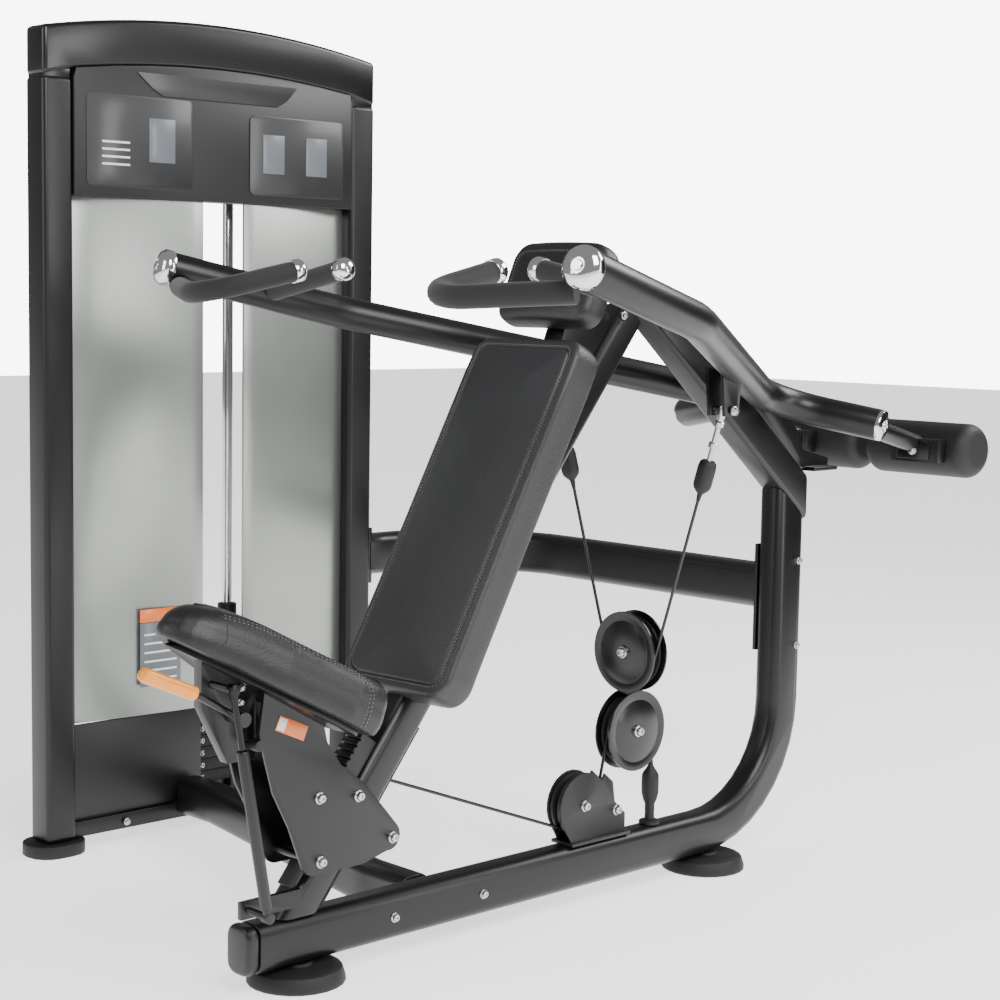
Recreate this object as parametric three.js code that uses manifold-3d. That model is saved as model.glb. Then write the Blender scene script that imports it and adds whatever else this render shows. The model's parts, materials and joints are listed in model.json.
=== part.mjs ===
// Shoulder press machine with a weight stack tower. Millimetres, +Z up.
// X runs to the user's left, Y backwards and Z up. The origin is on the floor, under the middle of
// the machine's bounding box. The drawing is made in machine coordinates, whose zero is under the
// front foot, and the whole group is then moved by FLOOR_CENTRE.
import * as THREE from 'three';
import Module from 'manifold-3d';
import { mergeVertices } from 'three/addons/utils/BufferGeometryUtils.js';

const wasm = await Module();
wasm.setup();

// ---- driving dimensions -------------------------------------------------------------------------
const FLOOR_CENTRE = { x: -251, y: 606 };
const GAP = 0.3;                       // left between pieces that rest on each other

const TUBE_WIDTH = 60;                 // main frame tube, across the machine
const TUBE_HEIGHT = 80;
const TUBE_CORNER = 20;
const BASE_BOTTOM = 32;
const BASE_TOP = BASE_BOTTOM + TUBE_HEIGHT;
const BASE_FRONT_Y = -92;
const UPRIGHT_Y = 1202;
const UPRIGHT_TOP = 800;
const REAR_FOOT_Y = 990;
const FOOT_SIDES = 24;
const REAR_BEND = 235;                 // centreline radius where the base turns into the upright

const LEAN_ANGLE = 38;                 // degrees from vertical
const LEAN_FOOT = { y: -3.4, z: 124.1 };
const LEAN_DEPTH = 62;
const LEAN_LENGTH = 1190;
const BRACE_ANGLE = 50.24;             // degrees from vertical, leaning forwards
const BRACE_POINT = { y: 1192, z: 749 };
const BRACE_DEPTH = 70;

const ARM_RADIUS = 30;
const ARM_AXIS = new THREE.Vector3(0.947, 0.276, -0.163).normalize();
const ARM_HUB_END = new THREE.Vector3(238, 1185, 862);
const ARM_CORNERS = [[509, 106, 1130], [433, 432, 1057]];
const ARM_ELBOW = 230;                 // how far inwards from the hub's end its axis meets the arm
const SHAFT_RADIUS = 14;
const GRIP_RADIUS = 18;
const ROLLER_RADIUS = 54;
const ROLLER_Y = 1495;
const ROLLER_Z = 800;
const CLEVIS = { x: 205, y: 770, z: 900 };

const CABLE_RADIUS = 3;
const GROOVE_PLAY = 1;                 // between a cable and the floor of its groove
const WRAP_REACH = 60;                 // straight cable beyond the block's wheel, on each side
const BLOCK_TOP = { y: 770, z: 446 };
const BLOCK_BOTTOM = { y: 774, z: 299 };
const BLOCK_ROPE_RADIUS = 59;
const BLOCK_RIM = 66;
const COVER_RADIUS = 74.5;
const LOW_PULLEY = { y: 637, z: 181 };
const LOW_ROPE_RADIUS = 50;

const SEAT_TILT = 30;                  // degrees, front edge up
const SEAT_REAR = { y: 45, z: 408 };
const SEAT_LENGTH = 356;
const SEAT_THICK = 88;
const PAN_THICK = 8;
const PLATE_INNER = 46;                // seat carriage side plates, from the middle plane
const PLATE_OUTER = 52;
const GAS_FOOT = { y: -117, z: 144 };
const GAS_HEAD = { y: -183, z: 504 };
const GAS_X = 80;

const PAD_HALF_WIDTH = 130;
const HEAD_HALF_WIDTH = 116;

const TOWER_FRONT = -856;
const TOWER_MIDDLE_Y = 461;
const COLUMN_WIDTH = 62;
const COLUMN_DEPTH = 60;
const COLUMN_TOP = 1487;
const CAP_SHOULDER = 1562;
const CAP_RISE = 38;                   // how far the cap's top edge arches above its ends
const TOWER_HALF_WIDTH = 399;
const STACK_X = -952;
const STACK_DEPTH = 115;
const STACK_WIDTH = 300;
const PLATE_PITCH = 25.6;
const STACK_BOTTOM = 80;
const RESTING_PLATES = 7;
const LIFTED_PLATES = 4;
const ROD_OFFSET = 90;
const ROD_RADIUS = 11;
const TOP_PULLEY = { x: -992, z: 1430 };
const TOP_ROPE_RADIUS = 40;

// ---- finishes -----------------------------------------------------------------------------------
const finish = (color, roughness, metalness = 0) =>
  new THREE.MeshStandardMaterial({ color, roughness, metalness });
const FRAME_COAT = finish(0x2b2b2d, 0.45, 0.3);
const CHROME = finish(0xd5d6d8, 0.12, 1);
const STEEL = finish(0x9a9b9d, 0.35, 1);
const RUBBER = finish(0x17171a, 0.8);
const FOAM = finish(0x1c1c1e, 0.9);
const LEATHER = finish(0x2a2a2c, 0.55);
const BLACK_PLASTIC = finish(0x141416, 0.4);
const SILVER_PAINT = finish(0xb9bbb8, 0.35, 0.5);
const IRON = finish(0x1d1d1f, 0.55, 0.4);
const CABLE = finish(0x1a1a1b, 0.5);
const YELLOW = finish(0xf0a818, 0.4);

const machine = new THREE.Group();
machine.position.set(-FLOOR_CENTRE.x, -FLOOR_CENTRE.y, 0);

// ---- helpers ------------------------------------------------------------------------------------
const radians = THREE.MathUtils.degToRad;
const vector = (x, y, z) => new THREE.Vector3(x, y, z);

function add(name, mesh, material) {
  mesh.name = name;
  mesh.material = material;
  machine.add(mesh);
  return mesh;
}

// A path that an extrusion follows point by point, with frames carried along without twist.
class BentPath extends THREE.Curve {
  constructor(points, side) {
    super();
    this.points = points;
    this.side = side;
  }

  getPoint(t) {
    const place = t * (this.points.length - 1);
    const index = Math.min(Math.floor(place), this.points.length - 2);
    return this.points[index].clone().lerp(this.points[index + 1], place - index);
  }

  getSpacedPoints() {
    return this.points;
  }

  computeFrenetFrames() {
    const last = this.points.length - 1;
    const leg = (i) => this.points[i + 1].clone().sub(this.points[i]).normalize();
    const tangents = this.points.map((point, i) =>
      leg(Math.max(i - 1, 0)).add(leg(Math.min(i, last - 1))).normalize());
    let normal = this.side.clone();
    const normals = tangents.map((tangent) => {
      normal = normal.clone().addScaledVector(tangent, -normal.dot(tangent)).normalize();
      return normal;
    });
    const binormals = tangents.map((tangent, i) => tangent.clone().cross(normals[i]));
    return { tangents, normals, binormals };
  }
}

// The points of a path through corners, each rounded to its own centreline radius.
function rounded(corners, radii, steps = 6) {
  const points = [corners[0]];
  for (let i = 1; i < corners.length - 1; i += 1) {
    const corner = corners[i];
    const back = corners[i - 1].clone().sub(corner).normalize();
    const ahead = corners[i + 1].clone().sub(corner).normalize();
    const turn = Math.PI - back.angleTo(ahead);
    const radius = radii[i - 1];
    const centre = back.clone().add(ahead).normalize()
      .multiplyScalar(radius / Math.cos(turn / 2)).add(corner);
    const reach = radius * Math.tan(turn / 2);
    const from = back.multiplyScalar(reach).add(corner).sub(centre);
    const to = ahead.multiplyScalar(reach).add(corner).sub(centre);
    for (let k = 0; k <= steps; k += 1) {
      const share = k / steps;
      points.push(from.clone().multiplyScalar(Math.sin((1 - share) * turn) / Math.sin(turn))
        .addScaledVector(to, Math.sin(share * turn) / Math.sin(turn)).add(centre));
    }
  }
  points.push(corners[corners.length - 1]);
  return points;
}

const polygon = (pairs) => new THREE.Shape(pairs.map(([x, y]) => new THREE.Vector2(x, y)));

function roundSection(radius, sides = 16) {
  return polygon(Array.from({ length: sides }, (_, i) => {
    const angle = (2 * Math.PI * i) / sides;
    return [radius * Math.cos(angle), radius * Math.sin(angle)];
  }));
}

function roundedRectangle(width, height, corner, steps = 4) {
  const pairs = [];
  for (let quarter = 0; quarter < 4; quarter += 1) {
    const sx = quarter === 0 || quarter === 3 ? 1 : -1;
    const sy = quarter < 2 ? 1 : -1;
    for (let k = 0; k <= steps; k += 1) {
      const angle = (Math.PI / 2) * (quarter + k / steps);
      pairs.push([sx * (width / 2 - corner) + corner * Math.cos(angle),
        sy * (height / 2 - corner) + corner * Math.sin(angle)]);
    }
  }
  return polygon(pairs);
}

function sweep(points, section, side = vector(1, 0, 0)) {
  return new THREE.Mesh(new THREE.ExtrudeGeometry(section, {
    steps: points.length - 1,
    bevelEnabled: false,
    extrudePath: new BentPath(points, side),
  }));
}

// A flat plate drawn in the (Y, Z) plane, from one X to another.
function plateAcrossX(pairs, fromX, toX) {
  const depth = toX - fromX;
  const mesh = new THREE.Mesh(new THREE.ExtrudeGeometry(polygon(pairs), { depth, bevelEnabled: false }));
  mesh.quaternion.set(0.5, 0.5, 0.5, 0.5);
  mesh.position.set(fromX, 0, 0);
  return mesh;
}

// A flat plate drawn in the (X, Y) plane, from one Z to another.
function slab(section, fromZ, toZ) {
  const mesh = new THREE.Mesh(
    new THREE.ExtrudeGeometry(section, { depth: toZ - fromZ, bevelEnabled: false }));
  mesh.position.z = fromZ;
  return mesh;
}

function box(fromX, toX, fromY, toY, fromZ, toZ) {
  const mesh = new THREE.Mesh(new THREE.BoxGeometry(toX - fromX, toY - fromY, toZ - fromZ));
  mesh.position.set((fromX + toX) / 2, (fromY + toY) / 2, (fromZ + toZ) / 2);
  return mesh;
}

// A turned piece: pairs of (radius, distance along the axis) that start and end on the axis.
function turned(pairs, start, direction, sides = 16) {
  const profile = pairs.map(([radius, along]) => new THREE.Vector2(radius, along));
  const mesh = new THREE.Mesh(new THREE.LatheGeometry(profile, sides));
  mesh.position.copy(start);
  mesh.quaternion.setFromUnitVectors(vector(0, 1, 0), direction.clone().normalize());
  return mesh;
}

function rod(start, end, radius, sides = 14) {
  const length = start.distanceTo(end);
  const direction = end.clone().sub(start);
  return turned([[0, 0], [radius, 0], [radius, length], [0, length]], start, direction, sides);
}

function arc(centre, radius, fromAngle, toAngle, steps) {
  return Array.from({ length: steps + 1 }, (_, k) => {
    const angle = radians(fromAngle + ((toAngle - fromAngle) * k) / steps);
    return [centre[0] + radius * Math.cos(angle), centre[1] + radius * Math.sin(angle)];
  });
}

function solidOf(mesh) {
  mesh.updateMatrixWorld();
  const surface = mesh.geometry.clone().applyMatrix4(mesh.matrixWorld);
  surface.deleteAttribute('normal');
  surface.deleteAttribute('uv');
  const welded = mergeVertices(surface, 1e-3);
  return new wasm.Manifold(new wasm.Mesh({
    numProp: 3,
    vertProperties: new Float32Array(welded.attributes.position.array),
    triVerts: new Uint32Array(welded.index.array),
  }));
}

function fused(meshes, cutters = []) {
  let solid = solidOf(meshes[0]);
  meshes.slice(1).forEach((mesh) => { solid = solid.add(solidOf(mesh)); });
  cutters.forEach((mesh) => { solid = solid.subtract(solidOf(mesh)); });
  const { vertProperties, triVerts } = solid.getMesh();
  const geometry = new THREE.BufferGeometry();
  geometry.setAttribute('position', new THREE.BufferAttribute(vertProperties, 3));
  geometry.setIndex(new THREE.BufferAttribute(triVerts, 1));
  geometry.computeVertexNormals();
  return new THREE.Mesh(geometry);
}

// Places a mesh in a frame whose local Z leans by an angle from vertical, backwards when positive.
function leaned(mesh, angle, origin) {
  const frame = new THREE.Group();
  frame.position.set(0, origin.y, origin.z);
  frame.rotation.x = -radians(angle);
  frame.add(mesh);
  frame.updateMatrixWorld(true);
  return mesh;
}

const inLean = (mesh) => leaned(mesh, LEAN_ANGLE, LEAN_FOOT);
const inBrace = (mesh) => leaned(mesh, -BRACE_ANGLE, BRACE_POINT);
const mirrored = (point) => vector(-point.x, point.y, point.z);
const mainSection = roundedRectangle(TUBE_WIDTH, TUBE_HEIGHT, TUBE_CORNER);

// ---- main frame ---------------------------------------------------------------------------------
function makeMainFrame() {
  const middle = BASE_BOTTOM + TUBE_HEIGHT / 2;
  const route = rounded(
    [vector(0, BASE_FRONT_Y, middle), vector(0, UPRIGHT_Y, middle), vector(0, UPRIGHT_Y, UPRIGHT_TOP)],
    [REAR_BEND], 9);
  const underBrace = inBrace(box(-60, 60, -BRACE_DEPTH / 2 - GAP, 300, -300, 300));
  add('base_frame', fused([sweep(route, mainSection)], [underBrace]), FRAME_COAT);

  const cap = new THREE.Mesh(new THREE.ExtrudeGeometry(mainSection, {
    depth: 8, bevelThickness: 8, bevelSize: 8, bevelOffset: -8, bevelSegments: 3,
  }));
  cap.rotation.x = Math.PI / 2;
  cap.position.set(0, BASE_FRONT_Y - GAP - 8, middle);
  add('base_end_cap', cap, BLACK_PLASTIC);

  const footProfile = [[0, 0], [80, 0], [80, 6], [74, 24], [60, 28], [26, 28], [26, BASE_BOTTOM - GAP],
    [0, BASE_BOTTOM - GAP]];
  add('front_foot', turned(footProfile, vector(0, 0, 0), vector(0, 0, 1), FOOT_SIDES), RUBBER);
  add('rear_foot', turned(footProfile, vector(0, REAR_FOOT_Y, 0), vector(0, 0, 1), FOOT_SIDES), RUBBER);
}

function leanSection(extra = 0) {
  return roundedRectangle(TUBE_WIDTH + extra, LEAN_DEPTH + extra, 16);
}

function makeLeaningTube() {
  const tube = inLean(slab(leanSection(), -90, LEAN_LENGTH));
  const lug = box(20.5, 30, -130, -14, 130, 158);
  const stud = rod(vector(28, GAS_FOOT.y, GAS_FOOT.z), vector(GAS_X - 7.5, GAS_FOOT.y, GAS_FOOT.z), 6);
  const floorCut = box(-100, 100, -300, 200, -100, BASE_TOP + GAP);
  add('leaning_tube', fused([tube, lug, stud], [floorCut]), FRAME_COAT);

  const front = -LEAN_DEPTH / 2 - GAP;
  const trackFace = front - 6;
  const rackFace = front - 35;
  const teeth = [];
  const toothPitch = 12;
  for (let z = 200; z < 284; z += toothPitch) {
    teeth.push([rackFace, z], [rackFace, z + 8], [rackFace + 4, z + 9], [rackFace + 4, z + 11]);
  }
  const outline = [[front, 15], [trackFace, 15], [trackFace, 198], ...teeth, [front, 284]].reverse();
  add('seat_track', inLeanGroup(plateAcrossX(outline, -20, 20)), BLACK_PLASTIC);

  const rear = LEAN_DEPTH / 2 + GAP;
  add('rear_track', inLeanGroup(box(-20, 20, rear, rear + 4, 20, 350)), BLACK_PLASTIC);
}

// Bakes a leaned mesh's place into its points, so that it can join the machine group directly.
function inLeanGroup(mesh) {
  inLean(mesh);
  const baked = new THREE.Mesh(mesh.geometry.clone().applyMatrix4(mesh.matrixWorld));
  return baked;
}

function makeTopBrace() {
  const beam = inBrace(slab(roundedRectangle(TUBE_WIDTH, BRACE_DEPTH, 10, 3), -150, 640));
  const behind = box(-60, 60, UPRIGHT_Y + TUBE_HEIGHT / 2, 1500, 400, 900);
  const ahead = inLean(box(-60, 60, -400, LEAN_DEPTH / 2 + GAP, 700, 1800));
  add('top_brace', fused([beam], [behind, ahead]), FRAME_COAT);
}

const hubPoint = (along) => ARM_HUB_END.clone().addScaledVector(ARM_AXIS, -along);

function makePivotHead() {
  const centreY = hubPoint(251).y;
  const centreZ = hubPoint(251).z;
  const braceTop = (y) => 776 + (1215 - y) * 0.8319 + 1;
  const outline = [
    [1225, braceTop(1225)],
    [1243, 762], [1325, 762], [1325, 780], [1243, 800], [1225, 838],
    ...arc([centreY, centreZ], 36, 30, 190, 8),
    [1082, braceTop(1082)],
  ];
  const cheek = plateAcrossX(outline, -16, 16);
  const shelf = box(-40, 40, 1250, 1325, 757, 765);
  const shafts = [1, -1].map((side) => {
    const place = (along) => (side > 0 ? hubPoint(along) : mirrored(hubPoint(along)));
    return rod(place(251), place(6), SHAFT_RADIUS);
  });
  add('pivot_head', fused([cheek, shelf, ...shafts]), FRAME_COAT);
}

function makeCrossTubes() {
  const lower = rounded([vector(-34, 280, 72), vector(-150, 280, 72), vector(-760, 392, 72),
    vector(TOWER_FRONT - 4, 392, 72)], [200, 200], 4);
  const lowerFlange = box(-TUBE_WIDTH / 2 - 8, -TUBE_WIDTH / 2 - GAP, 150, 410, 42, 102);
  add('lower_cross_tube', fused([sweep(lower, roundedRectangle(76, 60, 18), vector(0, 0, 1)), lowerFlange]),
    FRAME_COAT);

  const columnX = TOWER_FRONT - COLUMN_DEPTH / 2;
  const columnRear = TOWER_MIDDLE_Y + TOWER_HALF_WIDTH;
  const upper = rounded([vector(-34, UPRIGHT_Y, 526), vector(columnX, UPRIGHT_Y, 526),
    vector(columnX, columnRear + 4, 526)], [290], 10);
  const upperFlange = box(-TUBE_WIDTH / 2 - 7, -TUBE_WIDTH / 2 - GAP, UPRIGHT_Y - 34, UPRIGHT_Y + 34,
    400, 612);
  const endFlange = box(columnX - 28, columnX + 28, columnRear + GAP, columnRear + 8, 466, 586);
  add('upper_cross_tube', fused([sweep(upper, roundedRectangle(88, TUBE_WIDTH, 20), vector(0, 0, 1)),
    upperFlange, endFlange]), FRAME_COAT);
}

// ---- arms ---------------------------------------------------------------------------------------
// The pin under an arm lies along that arm's own pivot axis, so the link stays upright as it swings.
function clevisPin(side, reach, radius) {
  const axis = side > 0 ? ARM_AXIS : mirrored(ARM_AXIS);
  const centre = vector(side * CLEVIS.x, CLEVIS.y, CLEVIS.z);
  return rod(centre.clone().addScaledVector(axis, -reach), centre.clone().addScaledVector(axis, reach), radius);
}

function makeArm(side, name) {
  const place = (x, y, z) => vector(side * x, y, z);
  const hub = (along) => (side > 0 ? hubPoint(along) : mirrored(hubPoint(along)));
  const axis = side > 0 ? ARM_AXIS : mirrored(ARM_AXIS);
  const corners = [...ARM_CORNERS.map(([x, y, z]) => place(x, y, z)), hub(ARM_ELBOW), hub(0)];
  const route = rounded(corners, [200, 100], 7);
  const armTube = (radius) => sweep(route, roundSection(radius));
  const bore = rod(hub(300), hub(-10), SHAFT_RADIUS + 0.8);

  const bar = rod(hub(72), place(150, 1430, 812), 19);
  const saddle = box(Math.min(side * 105, side * 215), Math.max(side * 105, side * 215), 1414,
    ROLLER_Y - ROLLER_RADIUS - GAP - 0.2, 778, 824);
  const lugs = [-20, 14].map((offset) => {
    const x = side * CLEVIS.x + offset;
    return plateAcrossX([[752, 890], [788, 890], [796, 962], [744, 974]], x, x + 6);
  });
  const pin = clevisPin(side, 27, 5);
  add(`${name}_arm_tube`, fused([armTube(ARM_RADIUS), bar, saddle, ...lugs, pin], [bore]), FRAME_COAT);

  const frontEnd = corners[0];
  const forward = corners[0].clone().sub(corners[1]).normalize();
  const domeProfile = [[0, GAP], [32, GAP], [32, 12], [30, 17], [25, 21], [16, 24.5], [7, 26], [0, 26]];
  add(`${name}_arm_dome`, turned(domeProfile, frontEnd, forward, 18), CHROME);

  add(`${name}_hub_cap`, turned([[0, GAP], [29, GAP], [29, 6], [20, 9], [9, 10], [9, 15], [0, 15]],
    hub(0), axis, 18), CHROME);

  const sleeve = armTube(ARM_RADIUS + GAP);
  const lGrip = rounded([place(486, 112, 1098), place(264, -12, 1084), place(243, 196, 1131)], [62], 8);
  add(`${name}_front_grip`, fused([sweep(lGrip, roundSection(GRIP_RADIUS))], [sleeve]), FOAM);
  const barGrip = rod(place(438, 281, 1094), place(226, 281, 1135), GRIP_RADIUS, 16);
  add(`${name}_bar_grip`, fused([barGrip], [sleeve]), FOAM);

  const rounding = 26;
  const inner = 10;
  const outer = 254;
  const rollerProfile = [[0, inner], ...arc([ROLLER_RADIUS - rounding, inner + rounding], rounding, -90, 0, 4),
    ...arc([ROLLER_RADIUS - rounding, outer - rounding], rounding, 0, 90, 4), [0, outer]];
  add(`${name}_counterweight`, turned(rollerProfile, place(0, ROLLER_Y, ROLLER_Z), vector(side, 0, 0), 20),
    RUBBER);
}

// ---- cables and pulleys -------------------------------------------------------------------------
const ropeLean = Math.atan2(CLEVIS.x - BLOCK_ROPE_RADIUS, CLEVIS.z - BLOCK_TOP.z);

function makeCableLink(side, name) {
  const top = vector(side * CLEVIS.x, CLEVIS.y, CLEVIS.z);
  const end = vector(side * BLOCK_ROPE_RADIUS * Math.cos(ropeLean), BLOCK_TOP.y,
    BLOCK_TOP.z - BLOCK_ROPE_RADIUS * Math.sin(ropeLean));
  const direction = end.clone().sub(top);
  const length = direction.length() - WRAP_REACH - GAP;
  const profile = [[0, -10], [6, -9], [8, 0], [6, 14], [8, 22], [9, 70], [5, 76], [4, 98], [14, 100],
    [17, 108], [16, 146], [10, 154], [CABLE_RADIUS, 156], [CABLE_RADIUS, length], [0, length]];
  const link = turned(profile, top, direction, 12);
  add(`${name}_cable_link`, fused([link], [clevisPin(side, 30, 6)]), STEEL);
}

function wheel(centre, axis, rim, groove, halfWidth, bore) {
  const half = halfWidth;
  const profile = [[bore, -half], [rim, -half], [rim, -4.2], [groove, -3.4], [groove, 3.4], [rim, 4.2],
    [rim, half], [bore, half], [bore, -half]];
  return turned(profile, centre, axis, 20);
}

function makePulleyBlock() {
  const acrossY = vector(0, 1, 0);
  const acrossX = vector(1, 0, 0);
  const topCentre = vector(0, BLOCK_TOP.y, BLOCK_TOP.z);
  const bottomCentre = vector(0, BLOCK_BOTTOM.y, BLOCK_BOTTOM.z);
  const covers = [-18, 14].flatMap((offset) => [
    turned([[0, 0], [COVER_RADIUS, 0], [COVER_RADIUS, 4], [0, 4]],
      topCentre.clone().addScaledVector(acrossY, offset), acrossY, 24),
    turned([[0, 0], [COVER_RADIUS, 0], [COVER_RADIUS, 4], [0, 4]],
      bottomCentre.clone().addScaledVector(acrossX, offset), acrossX, 24),
  ]);
  const axles = [
    rod(topCentre.clone().addScaledVector(acrossY, -20), topCentre.clone().addScaledVector(acrossY, 20), 8),
    rod(bottomCentre.clone().addScaledVector(acrossX, -20),
      bottomCentre.clone().addScaledVector(acrossX, 20), 8),
  ];
  const yoke = box(-18, 18, BLOCK_TOP.y - 18, BLOCK_BOTTOM.y + 18, 366, 379);
  add('block_bracket', fused([...covers, ...axles, yoke]), BLACK_PLASTIC);
  add('block_top_pulley', wheel(topCentre, acrossY, BLOCK_RIM, BLOCK_ROPE_RADIUS - CABLE_RADIUS - GROOVE_PLAY, 12, 8.3),
    BLACK_PLASTIC);
  add('block_bottom_pulley',
    wheel(bottomCentre, acrossX, BLOCK_RIM, BLOCK_ROPE_RADIUS - CABLE_RADIUS - GROOVE_PLAY, 12, 8.3), BLACK_PLASTIC);

  const start = -THREE.MathUtils.radToDeg(ropeLean);
  const under = arc([0, BLOCK_TOP.z], BLOCK_ROPE_RADIUS, start, -180 - start, 10)
    .map(([x, z]) => vector(x, BLOCK_TOP.y, z));
  const rise = vector(Math.sin(ropeLean), 0, Math.cos(ropeLean)).multiplyScalar(WRAP_REACH);
  under.unshift(under[0].clone().add(rise));
  under.push(mirrored(under[0]));
  add('link_cable_wrap', sweep(under, roundSection(CABLE_RADIUS, 8), acrossY), CABLE);
}

function makeLowerCable() {
  const acrossX = vector(1, 0, 0);
  const rope = roundSection(CABLE_RADIUS, 8);
  const rearY = BLOCK_BOTTOM.y + BLOCK_ROPE_RADIUS;
  const over = arc([BLOCK_BOTTOM.y, BLOCK_BOTTOM.z], BLOCK_ROPE_RADIUS, 0, 180, 10);
  const lowRear = [LOW_PULLEY.y + LOW_ROPE_RADIUS, LOW_PULLEY.z + 2];
  const loop = [[rearY, 224], ...over, lowRear].map(([y, z]) => vector(0, y, z));
  add('block_cable', sweep(loop, rope, acrossX), CABLE);

  const under = arc([LOW_PULLEY.y, LOW_PULLEY.z], LOW_ROPE_RADIUS, 0, -111, 10);
  const forward = [...under, [186, 297]].map(([y, z]) => vector(0, y, z));
  add('front_cable', sweep(forward, rope, acrossX), CABLE);

  const boot = [[0, 0], [20, 0], [20, 6], [9, 8], [9, 40], [13, 48], [16, 60], [16, 92], [10, 104],
    [6, 111], [0, 111]];
  add('cable_anchor', turned(boot, vector(0, rearY, BASE_TOP + GAP), vector(0, 0, 1)), RUBBER);

  const cheekOutline = [
    [746, BASE_TOP + 5], [746, 150], [718, 176], [712, 214], [690, 232],
    ...arc([LOW_PULLEY.y, LOW_PULLEY.z], 60, 40, 215, 12),
    [606, BASE_TOP + 5],
  ];
  const cheeks = [-18, 14].map((x) => plateAcrossX(cheekOutline, x, x + 4));
  const foot = box(-27, 27, 600, 752, BASE_TOP + GAP, BASE_TOP + 6);
  const axle = rod(vector(-20, LOW_PULLEY.y, LOW_PULLEY.z), vector(20, LOW_PULLEY.y, LOW_PULLEY.z), 8);
  const spacer = rod(vector(-16, 722, 160), vector(16, 722, 160), 7);
  add('low_pulley_bracket', fused([...cheeks, foot, axle, spacer]), BLACK_PLASTIC);
  add('low_pulley', wheel(vector(0, LOW_PULLEY.y, LOW_PULLEY.z), acrossX, 57,
    LOW_ROPE_RADIUS - CABLE_RADIUS - GROOVE_PLAY, 12, 8.3), BLACK_PLASTIC);
}

// ---- seat ---------------------------------------------------------------------------------------
// Half of the seat's plan: distance forward from its rear edge and half width.
const SEAT_PLAN = [[0, 132], [10, 146], [26, 151], [70, 150], [140, 128], [224, 92], [298, 58],
  [332, 42], [350, 22], [SEAT_LENGTH, 0]];

function seatPlan(inset) {
  const half = SEAT_PLAN.map(([along, width]) => {
    const scale = (SEAT_LENGTH - inset) / SEAT_LENGTH;
    return [Math.max(width - inset, 0), along * scale + (along === 0 ? inset : inset / 2)];
  });
  const left = half.slice(0, -1).map(([x, along]) => [-x, along]).reverse();
  return polygon([...half, ...left]);
}

function onSeat(section, fromHeight, toHeight) {
  const mesh = slab(section, 0, toHeight - fromHeight);
  mesh.rotation.set(-radians(SEAT_TILT), 0, Math.PI);
  const tilt = radians(SEAT_TILT);
  mesh.position.set(0, SEAT_REAR.y + fromHeight * Math.sin(tilt), SEAT_REAR.z + fromHeight * Math.cos(tilt));
  return mesh;
}

function makeSeat() {
  add('seat_pad', onSeat(seatPlan(0), 0, SEAT_THICK), LEATHER);

  const pan = onSeat(seatPlan(26), -PAN_THICK, -GAP);
  const post = plateAcrossX([[-100, 487], [-200, 545], [-200, 470], [-152, 378], [-100, 378]], 4, 24);
  const plate = [[12, 421], [-104, 487], [-113, 422], [-86, 326], [-55, 266], [-34, 212],
    ...arc([-6, 206], 24, 200, 268, 4), [94, 183], ...arc([147, 219], 24, 260, 400, 7), [97, 313],
    [46, 353], [19, 392]];
  const sidePlates = [[PLATE_INNER, PLATE_OUTER], [-PLATE_OUTER, -PLATE_INNER]]
    .map(([from, to]) => plateAcrossX(plate, from, to));
  const crossPin = rod(vector(-PLATE_OUTER, -6, 206), vector(PLATE_OUTER, -6, 206), 6);
  const rearAxle = rod(vector(-PLATE_OUTER, 147, 219), vector(PLATE_OUTER, 147, 219), 6);
  const postPin = rod(vector(-PLATE_OUTER, -112, 404), vector(PLATE_OUTER, -112, 404), 9);
  const gasStud = rod(vector(20, GAS_HEAD.y, GAS_HEAD.z), vector(GAS_X - 7.5, GAS_HEAD.y, GAS_HEAD.z), 6);
  const leverBoss = rod(vector(20, -150, 452), vector(53.5, -150, 452), 9);
  add('seat_carriage', fused([pan, post, ...sidePlates, crossPin, rearAxle, postPin, gasStud, leverBoss]),
    FRAME_COAT);
  add('rear_roller', turned([[6.3, -18], [24, -18], [24, 18], [6.3, 18], [6.3, -18]],
    vector(0, 147, 219), vector(1, 0, 0), 20), BLACK_PLASTIC);

  const leverCorners = rounded([vector(60, -143, 446), vector(60, -237, 502), vector(60, -326, 541)], [60], 3);
  const bar = sweep(leverCorners, roundSection(5.5, 12));
  const grip = rod(vector(60, -237, 502), vector(60, -332, 543.7), 11, 16);
  const hubDisc = rod(vector(54, -150, 452), vector(66, -150, 452), 12);
  add('seat_lever', fused([hubDisc, bar, grip]), YELLOW);
}

function makeGasSpring() {
  const foot = vector(GAS_X, GAS_FOOT.y, GAS_FOOT.z);
  const head = vector(GAS_X, GAS_HEAD.y, GAS_HEAD.z);
  const direction = head.clone().sub(foot);
  const length = direction.length();
  const eye = (centre) => rod(centre.clone().setX(GAS_X - 7), centre.clone().setX(GAS_X + 7), 9);
  const cylinder = turned([[0, 0], [6, 0], [7, 14], [9.5, 16], [9.5, 266], [8, 270], [5.4, 270], [5.4, 130],
    [0, 130]], foot, direction);
  add('gas_cylinder', fused([cylinder, eye(foot)]), BLACK_PLASTIC);
  const piston = turned([[0, 190], [5, 190], [5, length - 16], [7, length - 14], [7, length], [0, length]],
    foot, direction);
  add('gas_rod', fused([piston, eye(head)]), STEEL);
}

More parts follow.
